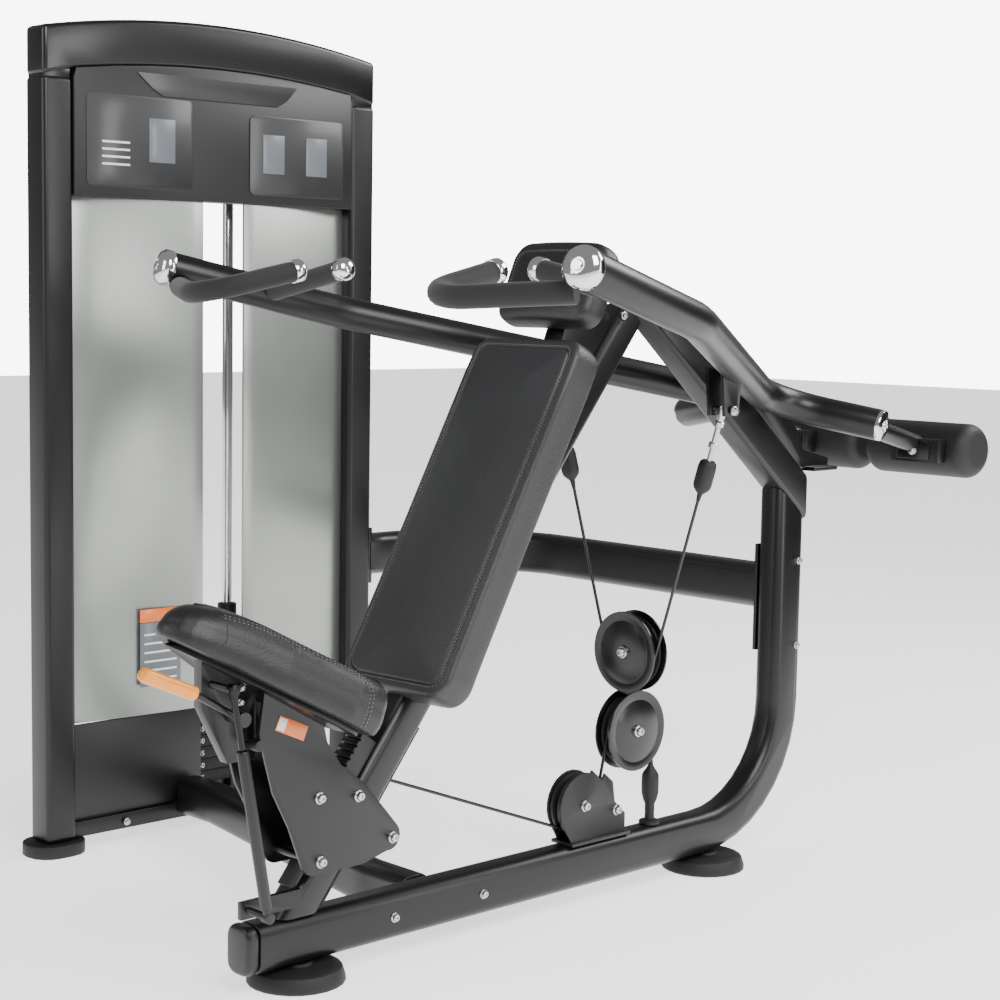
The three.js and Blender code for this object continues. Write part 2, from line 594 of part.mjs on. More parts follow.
// ---- pads ---------------------------------------------------------------------------------------
function makePads() {
  const backOutline = [[176, 450], [188, 440], [215, 425], [240, 440], [542, 1002], [520, 1026], [494, 1030]];
  const slot = inLean(slab(leanSection(6), 100, 900));
  add('back_pad', fused([plateAcrossX(backOutline, -PAD_HALF_WIDTH, PAD_HALF_WIDTH)], [slot]), LEATHER);

  const headOutline = [[466, 1054], [480, 1043], [522, 1037], [552, 1026], [608, 1160], [598, 1186],
    [572, 1194], [548, 1190], [510, 1130]];
  add('headrest', plateAcrossX(headOutline, -HEAD_HALF_WIDTH, HEAD_HALF_WIDTH), LEATHER);

  const bracket = [[491.8, 908], [567.5, 905.5], [672.5, 1040], [672.5, 1060], [612, 1152], [607, 1152],
    [554.5, 1025], [545.5, 1003]];
  add('pad_bracket', plateAcrossX(bracket, -22, 22), FRAME_COAT);
}

// ---- weight stack tower -------------------------------------------------------------------------
const archZ = (y, base, rise) => base + rise * (1 - ((y - TOWER_MIDDLE_Y) / TOWER_HALF_WIDTH) ** 2);

function archPoints(fromY, toY, base, rise, steps) {
  return Array.from({ length: steps + 1 }, (_, k) => {
    const y = fromY + ((toY - fromY) * k) / steps;
    return [y, archZ(y, base, rise)];
  });
}

function makeTower() {
  const left = TOWER_MIDDLE_Y - TOWER_HALF_WIDTH;
  const right = TOWER_MIDDLE_Y + TOWER_HALF_WIDTH;
  const insideLeft = left + COLUMN_WIDTH + GAP;
  const insideRight = right - COLUMN_WIDTH - GAP;
  const columnX = TOWER_FRONT - COLUMN_DEPTH / 2;
  [['left_column', left + COLUMN_WIDTH / 2], ['right_column', right - COLUMN_WIDTH / 2]]
    .forEach(([name, y]) => {
      const column = slab(roundedRectangle(COLUMN_DEPTH, COLUMN_WIDTH, 12), 25, COLUMN_TOP);
      column.position.x = columnX;
      column.position.y = y;
      add(name, column, FRAME_COAT);
      const pad = slab(roundedRectangle(104, 118, 46), 0, 25 - GAP);
      pad.position.x = columnX;
      pad.position.y = y;
      add(name === 'left_column' ? 'tower_foot_left' : 'tower_foot_right', pad, RUBBER);
    });

  const rail = box(TOWER_FRONT - 54, TOWER_FRONT - 6, insideLeft, insideRight, 27, 58);
  const stackPlate = box(-1045, TOWER_FRONT - 50, 290, 632, 27, 50);
  const rearSkid = box(-1045, -1010, 290, 632, 0, 30);
  add('tower_base', fused([rail, stackPlate, rearSkid]), FRAME_COAT);

  const capBottom = COLUMN_TOP + GAP;
  const capOutline = [[left, capBottom], [insideLeft, capBottom],
    ...archPoints(insideLeft + 6, insideRight - 6, capBottom + 8, 34, 8), [insideRight, capBottom],
    [right, capBottom], [right, CAP_SHOULDER],
    ...archPoints(right - 14, left + 14, CAP_SHOULDER + 16, CAP_RISE, 12), [left, CAP_SHOULDER]];
  const capFront = plateAcrossX(capOutline, TOWER_FRONT - COLUMN_DEPTH, TOWER_FRONT + 4);
  const topPlate = box(-1045, TOWER_FRONT - 46, 290, 632, 1526, 1536);
  const hanger = box(-1000, -984, 432, 447, 1410, 1530);
  const axle = rod(vector(TOP_PULLEY.x, 432, TOP_PULLEY.z), vector(TOP_PULLEY.x, 474, TOP_PULLEY.z), 8);
  add('tower_cap', fused([capFront, topPlate, hanger, axle]), BLACK_PLASTIC);
  add('top_pulley', wheel(vector(TOP_PULLEY.x, TOWER_MIDDLE_Y, TOP_PULLEY.z), vector(0, 1, 0), 47,
    TOP_ROPE_RADIUS - CABLE_RADIUS - GROOVE_PLAY, 12, 8.3), BLACK_PLASTIC);

  const housing = [[insideLeft, 1268], [insideRight, 1268], [insideRight, COLUMN_TOP - 1],
    ...archPoints(insideRight - 6, insideLeft + 6, capBottom + 7.2, 34, 8), [insideLeft, COLUMN_TOP - 1]];
  add('placard_housing', plateAcrossX(housing, TOWER_FRONT - 44, TOWER_FRONT + 6), BLACK_PLASTIC);

  [['left_shroud', insideLeft, 421, -1], ['right_shroud', 520, insideRight, 1]].forEach(([name, from, to, way]) => {
    const outside = [];
    const inside = [];
    for (let k = 0; k <= 10; k += 1) {
      const y = from + ((to - from) * k) / 10;
      const share = way < 0 ? 1 - k / 10 : k / 10;
      const x = TOWER_FRONT + 2 - 26 * share ** 2;
      outside.push([x, y]);
      inside.push([x - 6, y]);
    }
    const shroud = slab(polygon([...outside, ...inside.reverse()]), 250, 1268 - GAP);
    add(name, shroud, SILVER_PAINT);
  });
  add('lower_panel', box(TOWER_FRONT - 22, TOWER_FRONT - 14, insideLeft, 428, 60, 248), BLACK_PLASTIC);

  [['guide_rod_front', -ROD_OFFSET], ['guide_rod_rear', ROD_OFFSET]].forEach(([name, offset]) => {
    const y = TOWER_MIDDLE_Y + offset;
    add(name, rod(vector(STACK_X, y, 50 + GAP), vector(STACK_X, y, 1526 - GAP), ROD_RADIUS), CHROME);
  });
}

// The outline of a pile of plates seen from the side, with a groove at each joint.
function pileOutline(count, bottom, topThick) {
  const half = STACK_DEPTH / 2;
  const front = [];
  for (let k = 0; k < count; k += 1) {
    const z = bottom + k * PLATE_PITCH;
    front.push([half, z], [half, z + PLATE_PITCH - 1.6], [half - 3, z + PLATE_PITCH - 1.2],
      [half - 3, z + PLATE_PITCH]);
  }
  const top = bottom + count * PLATE_PITCH;
  const crown = topThick > 0 ? [[half, top], [half, top + topThick]] : [];
  const right = topThick > 0 ? [...front, ...crown] : front.slice(0, -2);
  const leftSide = right.map(([x, z]) => [-x, z]).reverse();
  return [...right, ...leftSide];
}

function pile(outline) {
  const shape = polygon(outline);
  const mesh = new THREE.Mesh(new THREE.ExtrudeGeometry(shape, { depth: STACK_WIDTH, bevelEnabled: false }));
  mesh.rotation.x = Math.PI / 2;
  mesh.position.set(STACK_X, TOWER_MIDDLE_Y + STACK_WIDTH / 2, 0);
  return mesh;
}

function makeStack() {
  const top = 1300;
  const rodHoles = [-ROD_OFFSET, ROD_OFFSET].map((offset) =>
    rod(vector(STACK_X, TOWER_MIDDLE_Y + offset, 20), vector(STACK_X, TOWER_MIDDLE_Y + offset, top),
      ROD_RADIUS + 0.8));
  const stemHole = rod(vector(STACK_X, TOWER_MIDDLE_Y, 20), vector(STACK_X, TOWER_MIDDLE_Y, top), 14);
  add('resting_plates', fused([pile(pileOutline(RESTING_PLATES, STACK_BOTTOM, 0))], [...rodHoles, stemHole]),
    IRON);

  const liftBottom = STACK_BOTTOM + RESTING_PLATES * PLATE_PITCH;
  const liftTop = liftBottom + LIFTED_PLATES * PLATE_PITCH + 30;
  const stem = rod(vector(STACK_X, TOWER_MIDDLE_Y, STACK_BOTTOM), vector(STACK_X, TOWER_MIDDLE_Y, liftTop + 46),
    12);
  const bushings = [-ROD_OFFSET, ROD_OFFSET].map((offset) =>
    rod(vector(STACK_X, TOWER_MIDDLE_Y + offset, liftTop - 4),
      vector(STACK_X, TOWER_MIDDLE_Y + offset, liftTop + 48), 20));
  const pinZ = liftBottom + PLATE_PITCH / 2;
  const frontX = STACK_X + STACK_DEPTH / 2;
  const pinHole = rod(vector(frontX + 10, TOWER_MIDDLE_Y, pinZ), vector(frontX - 50, TOWER_MIDDLE_Y, pinZ), 5.6);
  add('lifted_plates', fused([pile(pileOutline(LIFTED_PLATES, liftBottom, 30)), stem, ...bushings],
    [...rodHoles, pinHole]), IRON);

  add('selector_pin', turned([[0, -44], [5, -44], [5, 1], [10, 1], [13, 8], [13, 24], [9, 28], [0, 28]],
    vector(frontX + 0.5, TOWER_MIDDLE_Y, pinZ), vector(1, 0, 0), 20), STEEL);

  const over = arc([TOP_PULLEY.x, TOP_PULLEY.z], TOP_ROPE_RADIUS, 0, 180, 12);
  const route = [[STACK_X, liftTop + 46 + GAP], ...over, [TOP_PULLEY.x - TOP_ROPE_RADIUS, 50 + GAP]]
    .map(([x, z]) => vector(x, TOWER_MIDDLE_Y, z));
  add('stack_cable', sweep(route, roundSection(CABLE_RADIUS, 8), vector(0, 1, 0)), CABLE);
}

makeMainFrame();
makeLeaningTube();
makeTopBrace();
makePivotHead();
makeCrossTubes();
makeArm(1, 'left');
makeArm(-1, 'right');
makeCableLink(1, 'left');
makeCableLink(-1, 'right');
makePulleyBlock();
makeLowerCable();
makeSeat();
makeGasSpring();
makePads();
makeTower();
makeStack();

export default machine;
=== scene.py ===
"""Shoulder press machine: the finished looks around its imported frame, laid out as an add-on."""

import json
import math

import bpy
from mathutils import Matrix, Vector

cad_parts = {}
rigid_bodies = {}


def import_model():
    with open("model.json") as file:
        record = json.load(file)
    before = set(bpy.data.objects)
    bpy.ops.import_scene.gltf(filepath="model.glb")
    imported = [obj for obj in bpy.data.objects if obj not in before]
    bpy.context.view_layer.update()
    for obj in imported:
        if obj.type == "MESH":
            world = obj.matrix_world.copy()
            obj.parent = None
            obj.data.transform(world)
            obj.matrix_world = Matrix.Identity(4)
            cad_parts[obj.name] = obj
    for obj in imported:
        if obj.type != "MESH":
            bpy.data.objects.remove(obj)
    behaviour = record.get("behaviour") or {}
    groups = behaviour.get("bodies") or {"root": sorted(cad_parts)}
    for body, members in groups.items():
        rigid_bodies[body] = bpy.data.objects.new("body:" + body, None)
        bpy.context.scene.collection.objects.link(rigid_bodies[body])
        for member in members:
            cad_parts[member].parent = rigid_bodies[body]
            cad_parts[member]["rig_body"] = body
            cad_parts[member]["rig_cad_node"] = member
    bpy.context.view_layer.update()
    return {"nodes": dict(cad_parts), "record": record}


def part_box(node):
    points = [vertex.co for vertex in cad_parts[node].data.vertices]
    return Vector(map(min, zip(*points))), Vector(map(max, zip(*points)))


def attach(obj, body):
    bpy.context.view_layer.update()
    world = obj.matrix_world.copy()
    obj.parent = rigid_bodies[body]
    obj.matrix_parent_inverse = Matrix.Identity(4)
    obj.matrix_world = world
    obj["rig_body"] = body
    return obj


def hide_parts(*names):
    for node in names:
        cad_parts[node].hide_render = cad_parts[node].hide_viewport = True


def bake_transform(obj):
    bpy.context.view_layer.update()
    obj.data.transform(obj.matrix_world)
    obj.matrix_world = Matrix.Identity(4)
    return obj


bl_info = {
    "name": "Shoulder Press Machine",
    "version": (1, 0, 0),
    "blender": (4, 5, 0),
    "location": "View3D > Sidebar > Shoulder Press",
    "description": "Builds the pads, grips, cables, fittings, labels and finishes of the machine",
    "category": "Object",
}

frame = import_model()
NODES = frame["nodes"]
BODY_OF = {node: body for body, nodes in frame["record"]["behaviour"]["bodies"].items() for node in nodes}
SLOT_OF = {part["node"]: part["material_slot"] for part in frame["record"]["subparts"]}
MM = 0.001
FLOOR_CENTRE = Vector((-251, 606, 0))      # the row's origin, in the machine's own millimetres
UP = Vector((0, 0, 1))
LEFT = Vector((1, 0, 0))
BACK = Vector((0, 1, 0))


def spot(x, y, z):
    """A place given in the machine's own millimetres, whose zero is under the front foot."""
    return (Vector((x, y, z)) - FLOOR_CENTRE) * MM


# ---- selection and finishing ---------------------------------------------------------------------
def activate(piece):
    if bpy.context.object and bpy.context.object.mode != "OBJECT":
        bpy.ops.object.mode_set(mode="OBJECT")
    bpy.ops.object.select_all(action="DESELECT")
    piece.select_set(True)
    bpy.context.view_layer.objects.active = piece


def apply_modifier(piece, kind, **settings):
    activate(piece)
    modifier = piece.modifiers.new(kind.title(), kind)
    for name, value in settings.items():
        setattr(modifier, name, value)
    bpy.ops.object.modifier_apply(modifier=modifier.name)


def outward(piece, merge=1e-6):
    activate(piece)
    bpy.ops.object.mode_set(mode="EDIT")
    bpy.ops.mesh.select_all(action="SELECT")
    bpy.ops.mesh.remove_doubles(threshold=merge)
    bpy.ops.mesh.normals_make_consistent(inside=False)
    bpy.ops.object.mode_set(mode="OBJECT")


def hand_over(piece, name, finish, body, slot, stands_for=()):
    """Names a finished piece, gives it its finish and fixes it to the body that it moves with."""
    piece.name = name
    piece.data.name = name
    piece.data.materials.clear()
    piece.data.materials.append(finish)
    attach(piece, body)
    if stands_for:
        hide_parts(*stands_for)
    return piece


def new_mesh(name, points, faces, edges=()):
    mesh = bpy.data.meshes.new(name)
    mesh.from_pydata([tuple(point) for point in points], list(edges), list(faces))
    piece = bpy.data.objects.new(name, mesh)
    bpy.context.scene.collection.objects.link(piece)
    return piece


def smooth(piece, degrees=38):
    activate(piece)
    bpy.ops.object.shade_smooth_by_angle(angle=math.radians(degrees))


def turn_to(direction):
    return UP.rotation_difference(Vector(direction).normalized()).to_matrix().to_4x4()


def turned(name, profile, place, direction, steps=48):
    """A turned piece from (radius, distance along) pairs in millimetres that start and end on the axis."""
    points = [(radius * MM, 0, along * MM) for radius, along in profile]
    piece = new_mesh(name, points, [], [(i, i + 1) for i in range(len(points) - 1)])
    apply_modifier(piece, "SCREW", angle=math.tau, steps=steps, render_steps=steps, use_merge_vertices=True,
                   merge_threshold=1e-6)
    piece.data.transform(Matrix.Translation(place) @ turn_to(direction))
    outward(piece)
    smooth(piece)
    return piece


def swept(name, points, radius, sides=16):
    """A round tube along points in metres, closed at both ends."""
    curve = bpy.data.curves.new(name, "CURVE")
    curve.dimensions = "3D"
    curve.bevel_depth = radius * MM
    curve.bevel_resolution = sides // 4
    curve.use_fill_caps = True
    line = curve.splines.new("POLY")
    line.points.add(len(points) - 1)
    for target, point in zip(line.points, points):
        target.co = (*point, 1)
    piece = bpy.data.objects.new(name, curve)
    bpy.context.scene.collection.objects.link(piece)
    activate(piece)
    bpy.ops.object.convert(target="MESH")
    piece = bpy.context.object
    outward(piece)
    smooth(piece)
    return piece


def rounded_block(name, size, place, rotation, rim=1.5, segments=3):
    """A block with rounded edges, sized in millimetres, turned by a matrix and put in place."""
    bpy.ops.object.select_all(action="DESELECT")
    bpy.ops.mesh.primitive_cube_add(size=1)
    piece = bpy.context.object
    piece.data.transform(Matrix.Diagonal((*(side * MM for side in size), 1)))
    apply_modifier(piece, "BEVEL", width=rim * MM, segments=segments, limit_method="NONE")
    piece.data.transform(Matrix.Translation(place) @ rotation.to_4x4())
    smooth(piece)
    return piece


def joined(pieces, name):
    activate(pieces[0])
    for piece in pieces:
        piece.select_set(True)
    bpy.ops.object.join()
    pieces[0].name = name
    return pieces[0]


def rounded_line(corners, radii, steps=10):
    """Points along straight legs whose corners are rounded to the given radii."""
    points = [corners[0]]
    for before, corner, after, radius in zip(corners, corners[1:], corners[2:], radii):
        back = (before - corner).normalized()
        ahead = (after - corner).normalized()
        turn = math.pi - back.angle(ahead)
        centre = corner + (back + ahead).normalized() * radius / math.cos(turn / 2)
        start = corner + back * radius * math.tan(turn / 2) - centre
        end = corner + ahead * radius * math.tan(turn / 2) - centre
        for k in range(steps + 1):
            share = k / steps
            points.append(centre + (start * math.sin((1 - share) * turn) + end * math.sin(share * turn))
                          / math.sin(turn))
    return points + [corners[-1]]


# ---- finishes ------------------------------------------------------------------------------------
def linear(code):
    """The linear colour of an sRGB hex code."""
    channels = [int(code[i:i + 2], 16) / 255 for i in (1, 3, 5)]
    return (*(c / 12.92 if c <= 0.04045 else ((c + 0.055) / 1.055) ** 2.4 for c in channels), 1)


def add_node(tree, kind, links=None, **settings):
    """Adds a node, sets its properties and sockets, and links sockets that are given as sockets."""
    made = tree.nodes.new(kind)
    for name, value in settings.items():
        setattr(made, name, value)
    for socket, value in (links or {}).items():
        if isinstance(value, bpy.types.NodeSocket):
            tree.links.new(value, made.inputs[socket])
        else:
            made.inputs[socket].default_value = value
    return made


def per_mm(size):
    """The scale of a texture whose pattern repeats every so many millimetres."""
    return 1000 / size


def start_finish(name, colour, roughness, metallic=0.0, **sockets):
    finish = bpy.data.materials.new(name)
    finish.use_nodes = True
    finish.diffuse_color = linear(colour)
    tree = finish.node_tree
    shader = tree.nodes["Principled BSDF"]
    shader.inputs["Base Color"].default_value = linear(colour)
    shader.inputs["Roughness"].default_value = roughness
    shader.inputs["Metallic"].default_value = metallic
    for socket, value in sockets.items():
        shader.inputs[socket.replace("_", " ")].default_value = value
    place = add_node(tree, "ShaderNodeTexCoord").outputs["Object"]
    return finish, tree, shader, place


def vary(tree, shader, place, size, dark, light, socket="Base Color"):
    """Lets a slow noise move a colour or a roughness between two values."""
    noise = add_node(tree, "ShaderNodeTexNoise", {"Vector": place, "Scale": per_mm(size), "Detail": 4.0})
    if socket == "Base Color":
        ramp = add_node(tree, "ShaderNodeMix", {"Factor": noise.outputs["Fac"]}, data_type="RGBA")
        for index, code in ((6, dark), (7, light)):
            ramp.inputs[index].default_value = linear(code)
        tree.links.new(ramp.outputs[2], shader.inputs[socket])
    else:
        spread = add_node(tree, "ShaderNodeMapRange", {"Value": noise.outputs["Fac"], "To Min": dark,
                                                       "To Max": light})
        tree.links.new(spread.outputs["Result"], shader.inputs[socket])


def emboss(tree, shader, height, strength, depth):
    """Raises a height pattern, depth given in millimetres."""
    bump = add_node(tree, "ShaderNodeBump", {"Height": height, "Strength": strength, "Distance": depth * MM})
    tree.links.new(bump.outputs["Normal"], shader.inputs["Normal"])


def powder_coat():
    """Polyester powder coat on steel, baked: a satin charcoal with a faint orange peel."""
    finish, tree, shader, place = start_finish("satin_powder_coat", LOOK["coat"], 0.36, 0.25,
                                               Coat_Weight=0.12, Coat_Roughness=0.3)
    vary(tree, shader, place, 120, 0.31, 0.42, "Roughness")
    peel = add_node(tree, "ShaderNodeTexNoise", {"Vector": place, "Scale": per_mm(2.4), "Detail": 3.0})
    emboss(tree, shader, peel.outputs["Fac"], 0.25, 0.12)
    return finish


def chrome():
    """Electroplated chromium on polished steel: a mirror with slight haze."""
    finish, tree, shader, place = start_finish("polished_chrome", "#E2E3E6", 0.09, 1.0)
    vary(tree, shader, place, 30, 0.06, 0.14, "Roughness")
    return finish


def zinc_steel():
    """Zinc plated steel fasteners: bright, slightly milky metal."""
    finish, tree, shader, place = start_finish("zinc_plated_steel", "#B9BBBF", 0.3, 1.0)
    vary(tree, shader, place, 6, 0.22, 0.38, "Roughness")
    return finish


def moulded_rubber():
    """Moulded EPDM rubber: nearly black, dull, with a fine matt texture."""
    finish, tree, shader, place = start_finish("moulded_rubber", LOOK["rubber"], 0.62)
    grit = add_node(tree, "ShaderNodeTexNoise", {"Vector": place, "Scale": per_mm(1.2), "Detail": 5.0})
    emboss(tree, shader, grit.outputs["Fac"], 0.3, 0.15)
    return finish


def cellular_foam():
    """Extruded nitrile foam grip: matt black skin with open pores about a millimetre across."""
    finish, tree, shader, place = start_finish("nitrile_foam", "#0A0A0B", 0.78, Sheen_Weight=0.15)
    pores = add_node(tree, "ShaderNodeTexVoronoi", {"Vector": place, "Scale": per_mm(1.6)})
    emboss(tree, shader, pores.outputs["Distance"], 0.45, 0.35)
    return finish


def leatherette(name, colour, light):
    """Embossed PVC leatherette over foam: satin, with a pebble grain 1.5 to 2 mm across."""
    finish, tree, shader, place = start_finish(name, colour, 0.46, Specular_IOR_Level=0.5, Coat_Weight=0.08,
                                               Coat_Roughness=0.4)
    vary(tree, shader, place, 90, colour, light)
    pebbles = add_node(tree, "ShaderNodeTexVoronoi", {"Vector": place, "Scale": per_mm(2.6),
                                                      "Smoothness": 0.5}, feature="SMOOTH_F1")
    creases = add_node(tree, "ShaderNodeTexNoise", {"Vector": place, "Scale": per_mm(7), "Detail": 3.0})
    both = add_node(tree, "ShaderNodeMath", {0: pebbles.outputs["Distance"], 1: creases.outputs["Fac"]},
                    operation="ADD")
    emboss(tree, shader, both.outputs["Value"], 0.75, 0.42)
    return finish


def moulded_abs(name, colour, roughness):
    """Injection moulded ABS: black, with the fine spark texture of its mould."""
    finish, tree, shader, place = start_finish(name, colour, roughness)
    spark = add_node(tree, "ShaderNodeTexNoise", {"Vector": place, "Scale": per_mm(0.9), "Detail": 4.0})
    emboss(tree, shader, spark.outputs["Fac"], 0.2, 0.1)
    return finish


def metallic_lacquer():
    """Silver metallic lacquer on sheet steel: fine flake under a satin clear coat."""
    finish, tree, shader, place = start_finish("silver_metallic_lacquer", LOOK["shroud"], 0.34, 0.8,
                                               Coat_Weight=0.25, Coat_Roughness=0.22)
    vary(tree, shader, place, 260, "#8F938F", "#A6AAA5")
    flake = add_node(tree, "ShaderNodeTexVoronoi", {"Vector": place, "Scale": per_mm(1.4)})
    spread = add_node(tree, "ShaderNodeMapRange", {"Value": flake.outputs["Distance"], "To Min": 0.26,
                                                   "To Max": 0.4})
    tree.links.new(spread.outputs["Result"], shader.inputs["Roughness"])
    return finish


def cast_plate():
    """Machined steel weight plate, sprayed black."""
    finish, tree, shader, place = start_finish("painted_steel_plate", "#0E0E0F", 0.5, 0.3)
    grain = add_node(tree, "ShaderNodeTexNoise", {"Vector": place, "Scale": per_mm(3), "Detail": 5.0})
    emboss(tree, shader, grain.outputs["Fac"], 0.35, 0.2)
    return finish


def nylon_cable():
    """Nylon jacket over a steel rope: smooth, black and slightly glossy."""
    finish, tree, shader, place = start_finish("nylon_cable_jacket", "#0A0A0B", 0.32)
    lay = add_node(tree, "ShaderNodeTexWave", {"Vector": place, "Scale": per_mm(14), "Distortion": 0.6},
                   bands_direction="DIAGONAL")
    emboss(tree, shader, lay.outputs["Fac"], 0.2, 0.12)
    return finish


def lever_plastic():
    """Yellow dipped vinyl grip: a soft gloss with shallow flow marks."""
    finish, tree, shader, place = start_finish("yellow_dipped_vinyl", LOOK["lever"], 0.34, Coat_Weight=0.2)
    vary(tree, shader, place, 18, "#E07F00", "#F59B08")
    return finish


def printed(name, colour, roughness=0.3):
    """Printed polycarbonate overlay: flat colour under a thin clear film."""
    finish, tree, shader, place = start_finish(name, colour, roughness, Coat_Weight=0.3, Coat_Roughness=0.15)
    vary(tree, shader, place, 60, max(roughness - 0.05, 0.1), roughness + 0.05, "Roughness")
    return finish


def thread():
    """Bonded polyester sewing thread: pale grey, with a little sheen."""
    finish, tree, shader, place = start_finish("polyester_thread", "#8E8E90", 0.6, Sheen_Weight=0.3)
    vary(tree, shader, place, 3, "#7C7C7E", "#9C9C9E")
    return finish


def nitrided_steel():
    """Nitrided steel rod: ground smooth, then turned dark grey by the heat treatment."""
    finish, tree, shader, place = start_finish("nitrided_steel", "#2C2C2E", 0.28, 1.0)
    vary(tree, shader, place, 8, 0.22, 0.34, "Roughness")
    return finish


LOOK = {}
FINISH = {}


def mix_finishes():
    look = bpy.context.scene.shoulder_press
    for name in ("coat", "rubber", "shroud", "lever", "pad", "pad_light"):
        channels = getattr(look, name)
        LOOK[name] = "#" + "".join(f"{round(channel * 255):02X}" for channel in channels)
    FINISH.update({
        "frame_coat": powder_coat(), "chrome": chrome(), "steel": zinc_steel(), "rubber": moulded_rubber(),
        "foam": cellular_foam(), "leather": leatherette("black_leatherette", LOOK["pad"], "#151516"),
        "pad_leather": leatherette("grey_leatherette", LOOK["pad_light"], "#28292B"),
        "black_plastic": moulded_abs("black_moulded_abs", "#0C0C0D", 0.42),
        "gloss_plastic": moulded_abs("gloss_moulded_abs", "#0B0B0C", 0.26),
        "silver_paint": metallic_lacquer(), "iron": cast_plate(), "cable": nylon_cable(),
        "lever_paint": lever_plastic(), "thread": thread(),
        "label_dark": printed("dark_grey_overlay", "#1A1A1C", 0.42),
        "label_grey": printed("grey_overlay", "#5C6166", 0.45),
        "label_light": printed("white_print", "#D9DADB"),
        "label_orange": printed("orange_print", "#E2701E"),
        "nitrided": nitrided_steel(),
    })


# ---- structure -----------------------------------------------------------------------------------
REFINED = {
    "frame_coat": ["base_frame", "leaning_tube", "top_brace", "pivot_head", "lower_cross_tube",
                   "upper_cross_tube", "left_arm_tube", "right_arm_tube", "pad_bracket", "tower_base",
                   "seat_carriage"],
    "chrome": ["guide_rod_front", "guide_rod_rear"],
    "nitrided": ["gas_rod"],
    "steel": ["selector_pin"],
    "rubber": ["front_foot", "rear_foot", "tower_foot_left", "tower_foot_right"],
    "black_plastic": ["base_end_cap", "seat_track", "rear_track", "placard_housing",
                      "lower_panel", "low_pulley_bracket", "gas_cylinder", "rear_roller"],
    "silver_paint": ["left_shroud", "right_shroud"],
    "iron": ["resting_plates", "lifted_plates"],
}
RIM = {"frame_coat": 1.6, "chrome": 0.6, "steel": 0.5, "nitrided": 0.5, "rubber": 2.0,
       "black_plastic": 1.6, "silver_paint": 1.2, "iron": 1.0}


def refine(node, finish, rim):
    """A copy of a frame node with clean faces, softened edges and smooth rounds."""
    source = NODES[node]
    piece = source.copy()
    piece.data = source.data.copy()
    piece.parent = None
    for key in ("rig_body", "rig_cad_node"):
        if key in piece:
            del piece[key]
    bpy.context.scene.collection.objects.link(piece)
    piece.hide_render = False
    activate(piece)
    bpy.ops.object.mode_set(mode="EDIT")
    bpy.ops.mesh.select_all(action="SELECT")
    bpy.ops.mesh.remove_doubles(threshold=2e-5)
    bpy.ops.mesh.dissolve_limited(angle_limit=math.radians(1.0))
    bpy.ops.object.mode_set(mode="OBJECT")
    apply_modifier(piece, "BEVEL", width=rim * MM, segments=2, limit_method="ANGLE",
                   angle_limit=math.radians(38), use_clamp_overlap=True)
    smooth(piece, 40)
    return hand_over(piece, node + "_finished", finish, BODY_OF[node], SLOT_OF[node], [node])


class MACHINE_OT_frame(bpy.types.Operator):
    """Soften and coat the tubes, plates, covers and feet"""
    bl_idname = "shoulder_press.frame"
    bl_label = "Frame, tower and plates"

    def execute(self, context):
        for slot, nodes in REFINED.items():
            for node in nodes:
                refine(node, FINISH[slot], RIM[slot])
        return {"FINISHED"}


TOWER_LEFT, TOWER_RIGHT = 62, 860
COLUMN_MIDDLE = -886
COLUMNS = {"left_column": TOWER_LEFT + 31, "right_column": TOWER_RIGHT - 31}
COLUMN_SIZE = (66, 64, 1462)
COLUMN_CENTRE_HEIGHT = 756
CAP_UNDERSIDE = 1487.4
TOP_PULLEY = Vector((-992, 461, 1430))
PLATE_PITCH = 25.6
PLATE_STEP = 5                             # the number on each plate rises by this much
PLATES, RESTING_PLATES = 11, 7


def arch(y, base, rise):
    middle = (TOWER_LEFT + TOWER_RIGHT) / 2
    half = (TOWER_RIGHT - TOWER_LEFT) / 2
    return base + rise * (1 - ((y - middle) / half) ** 2)


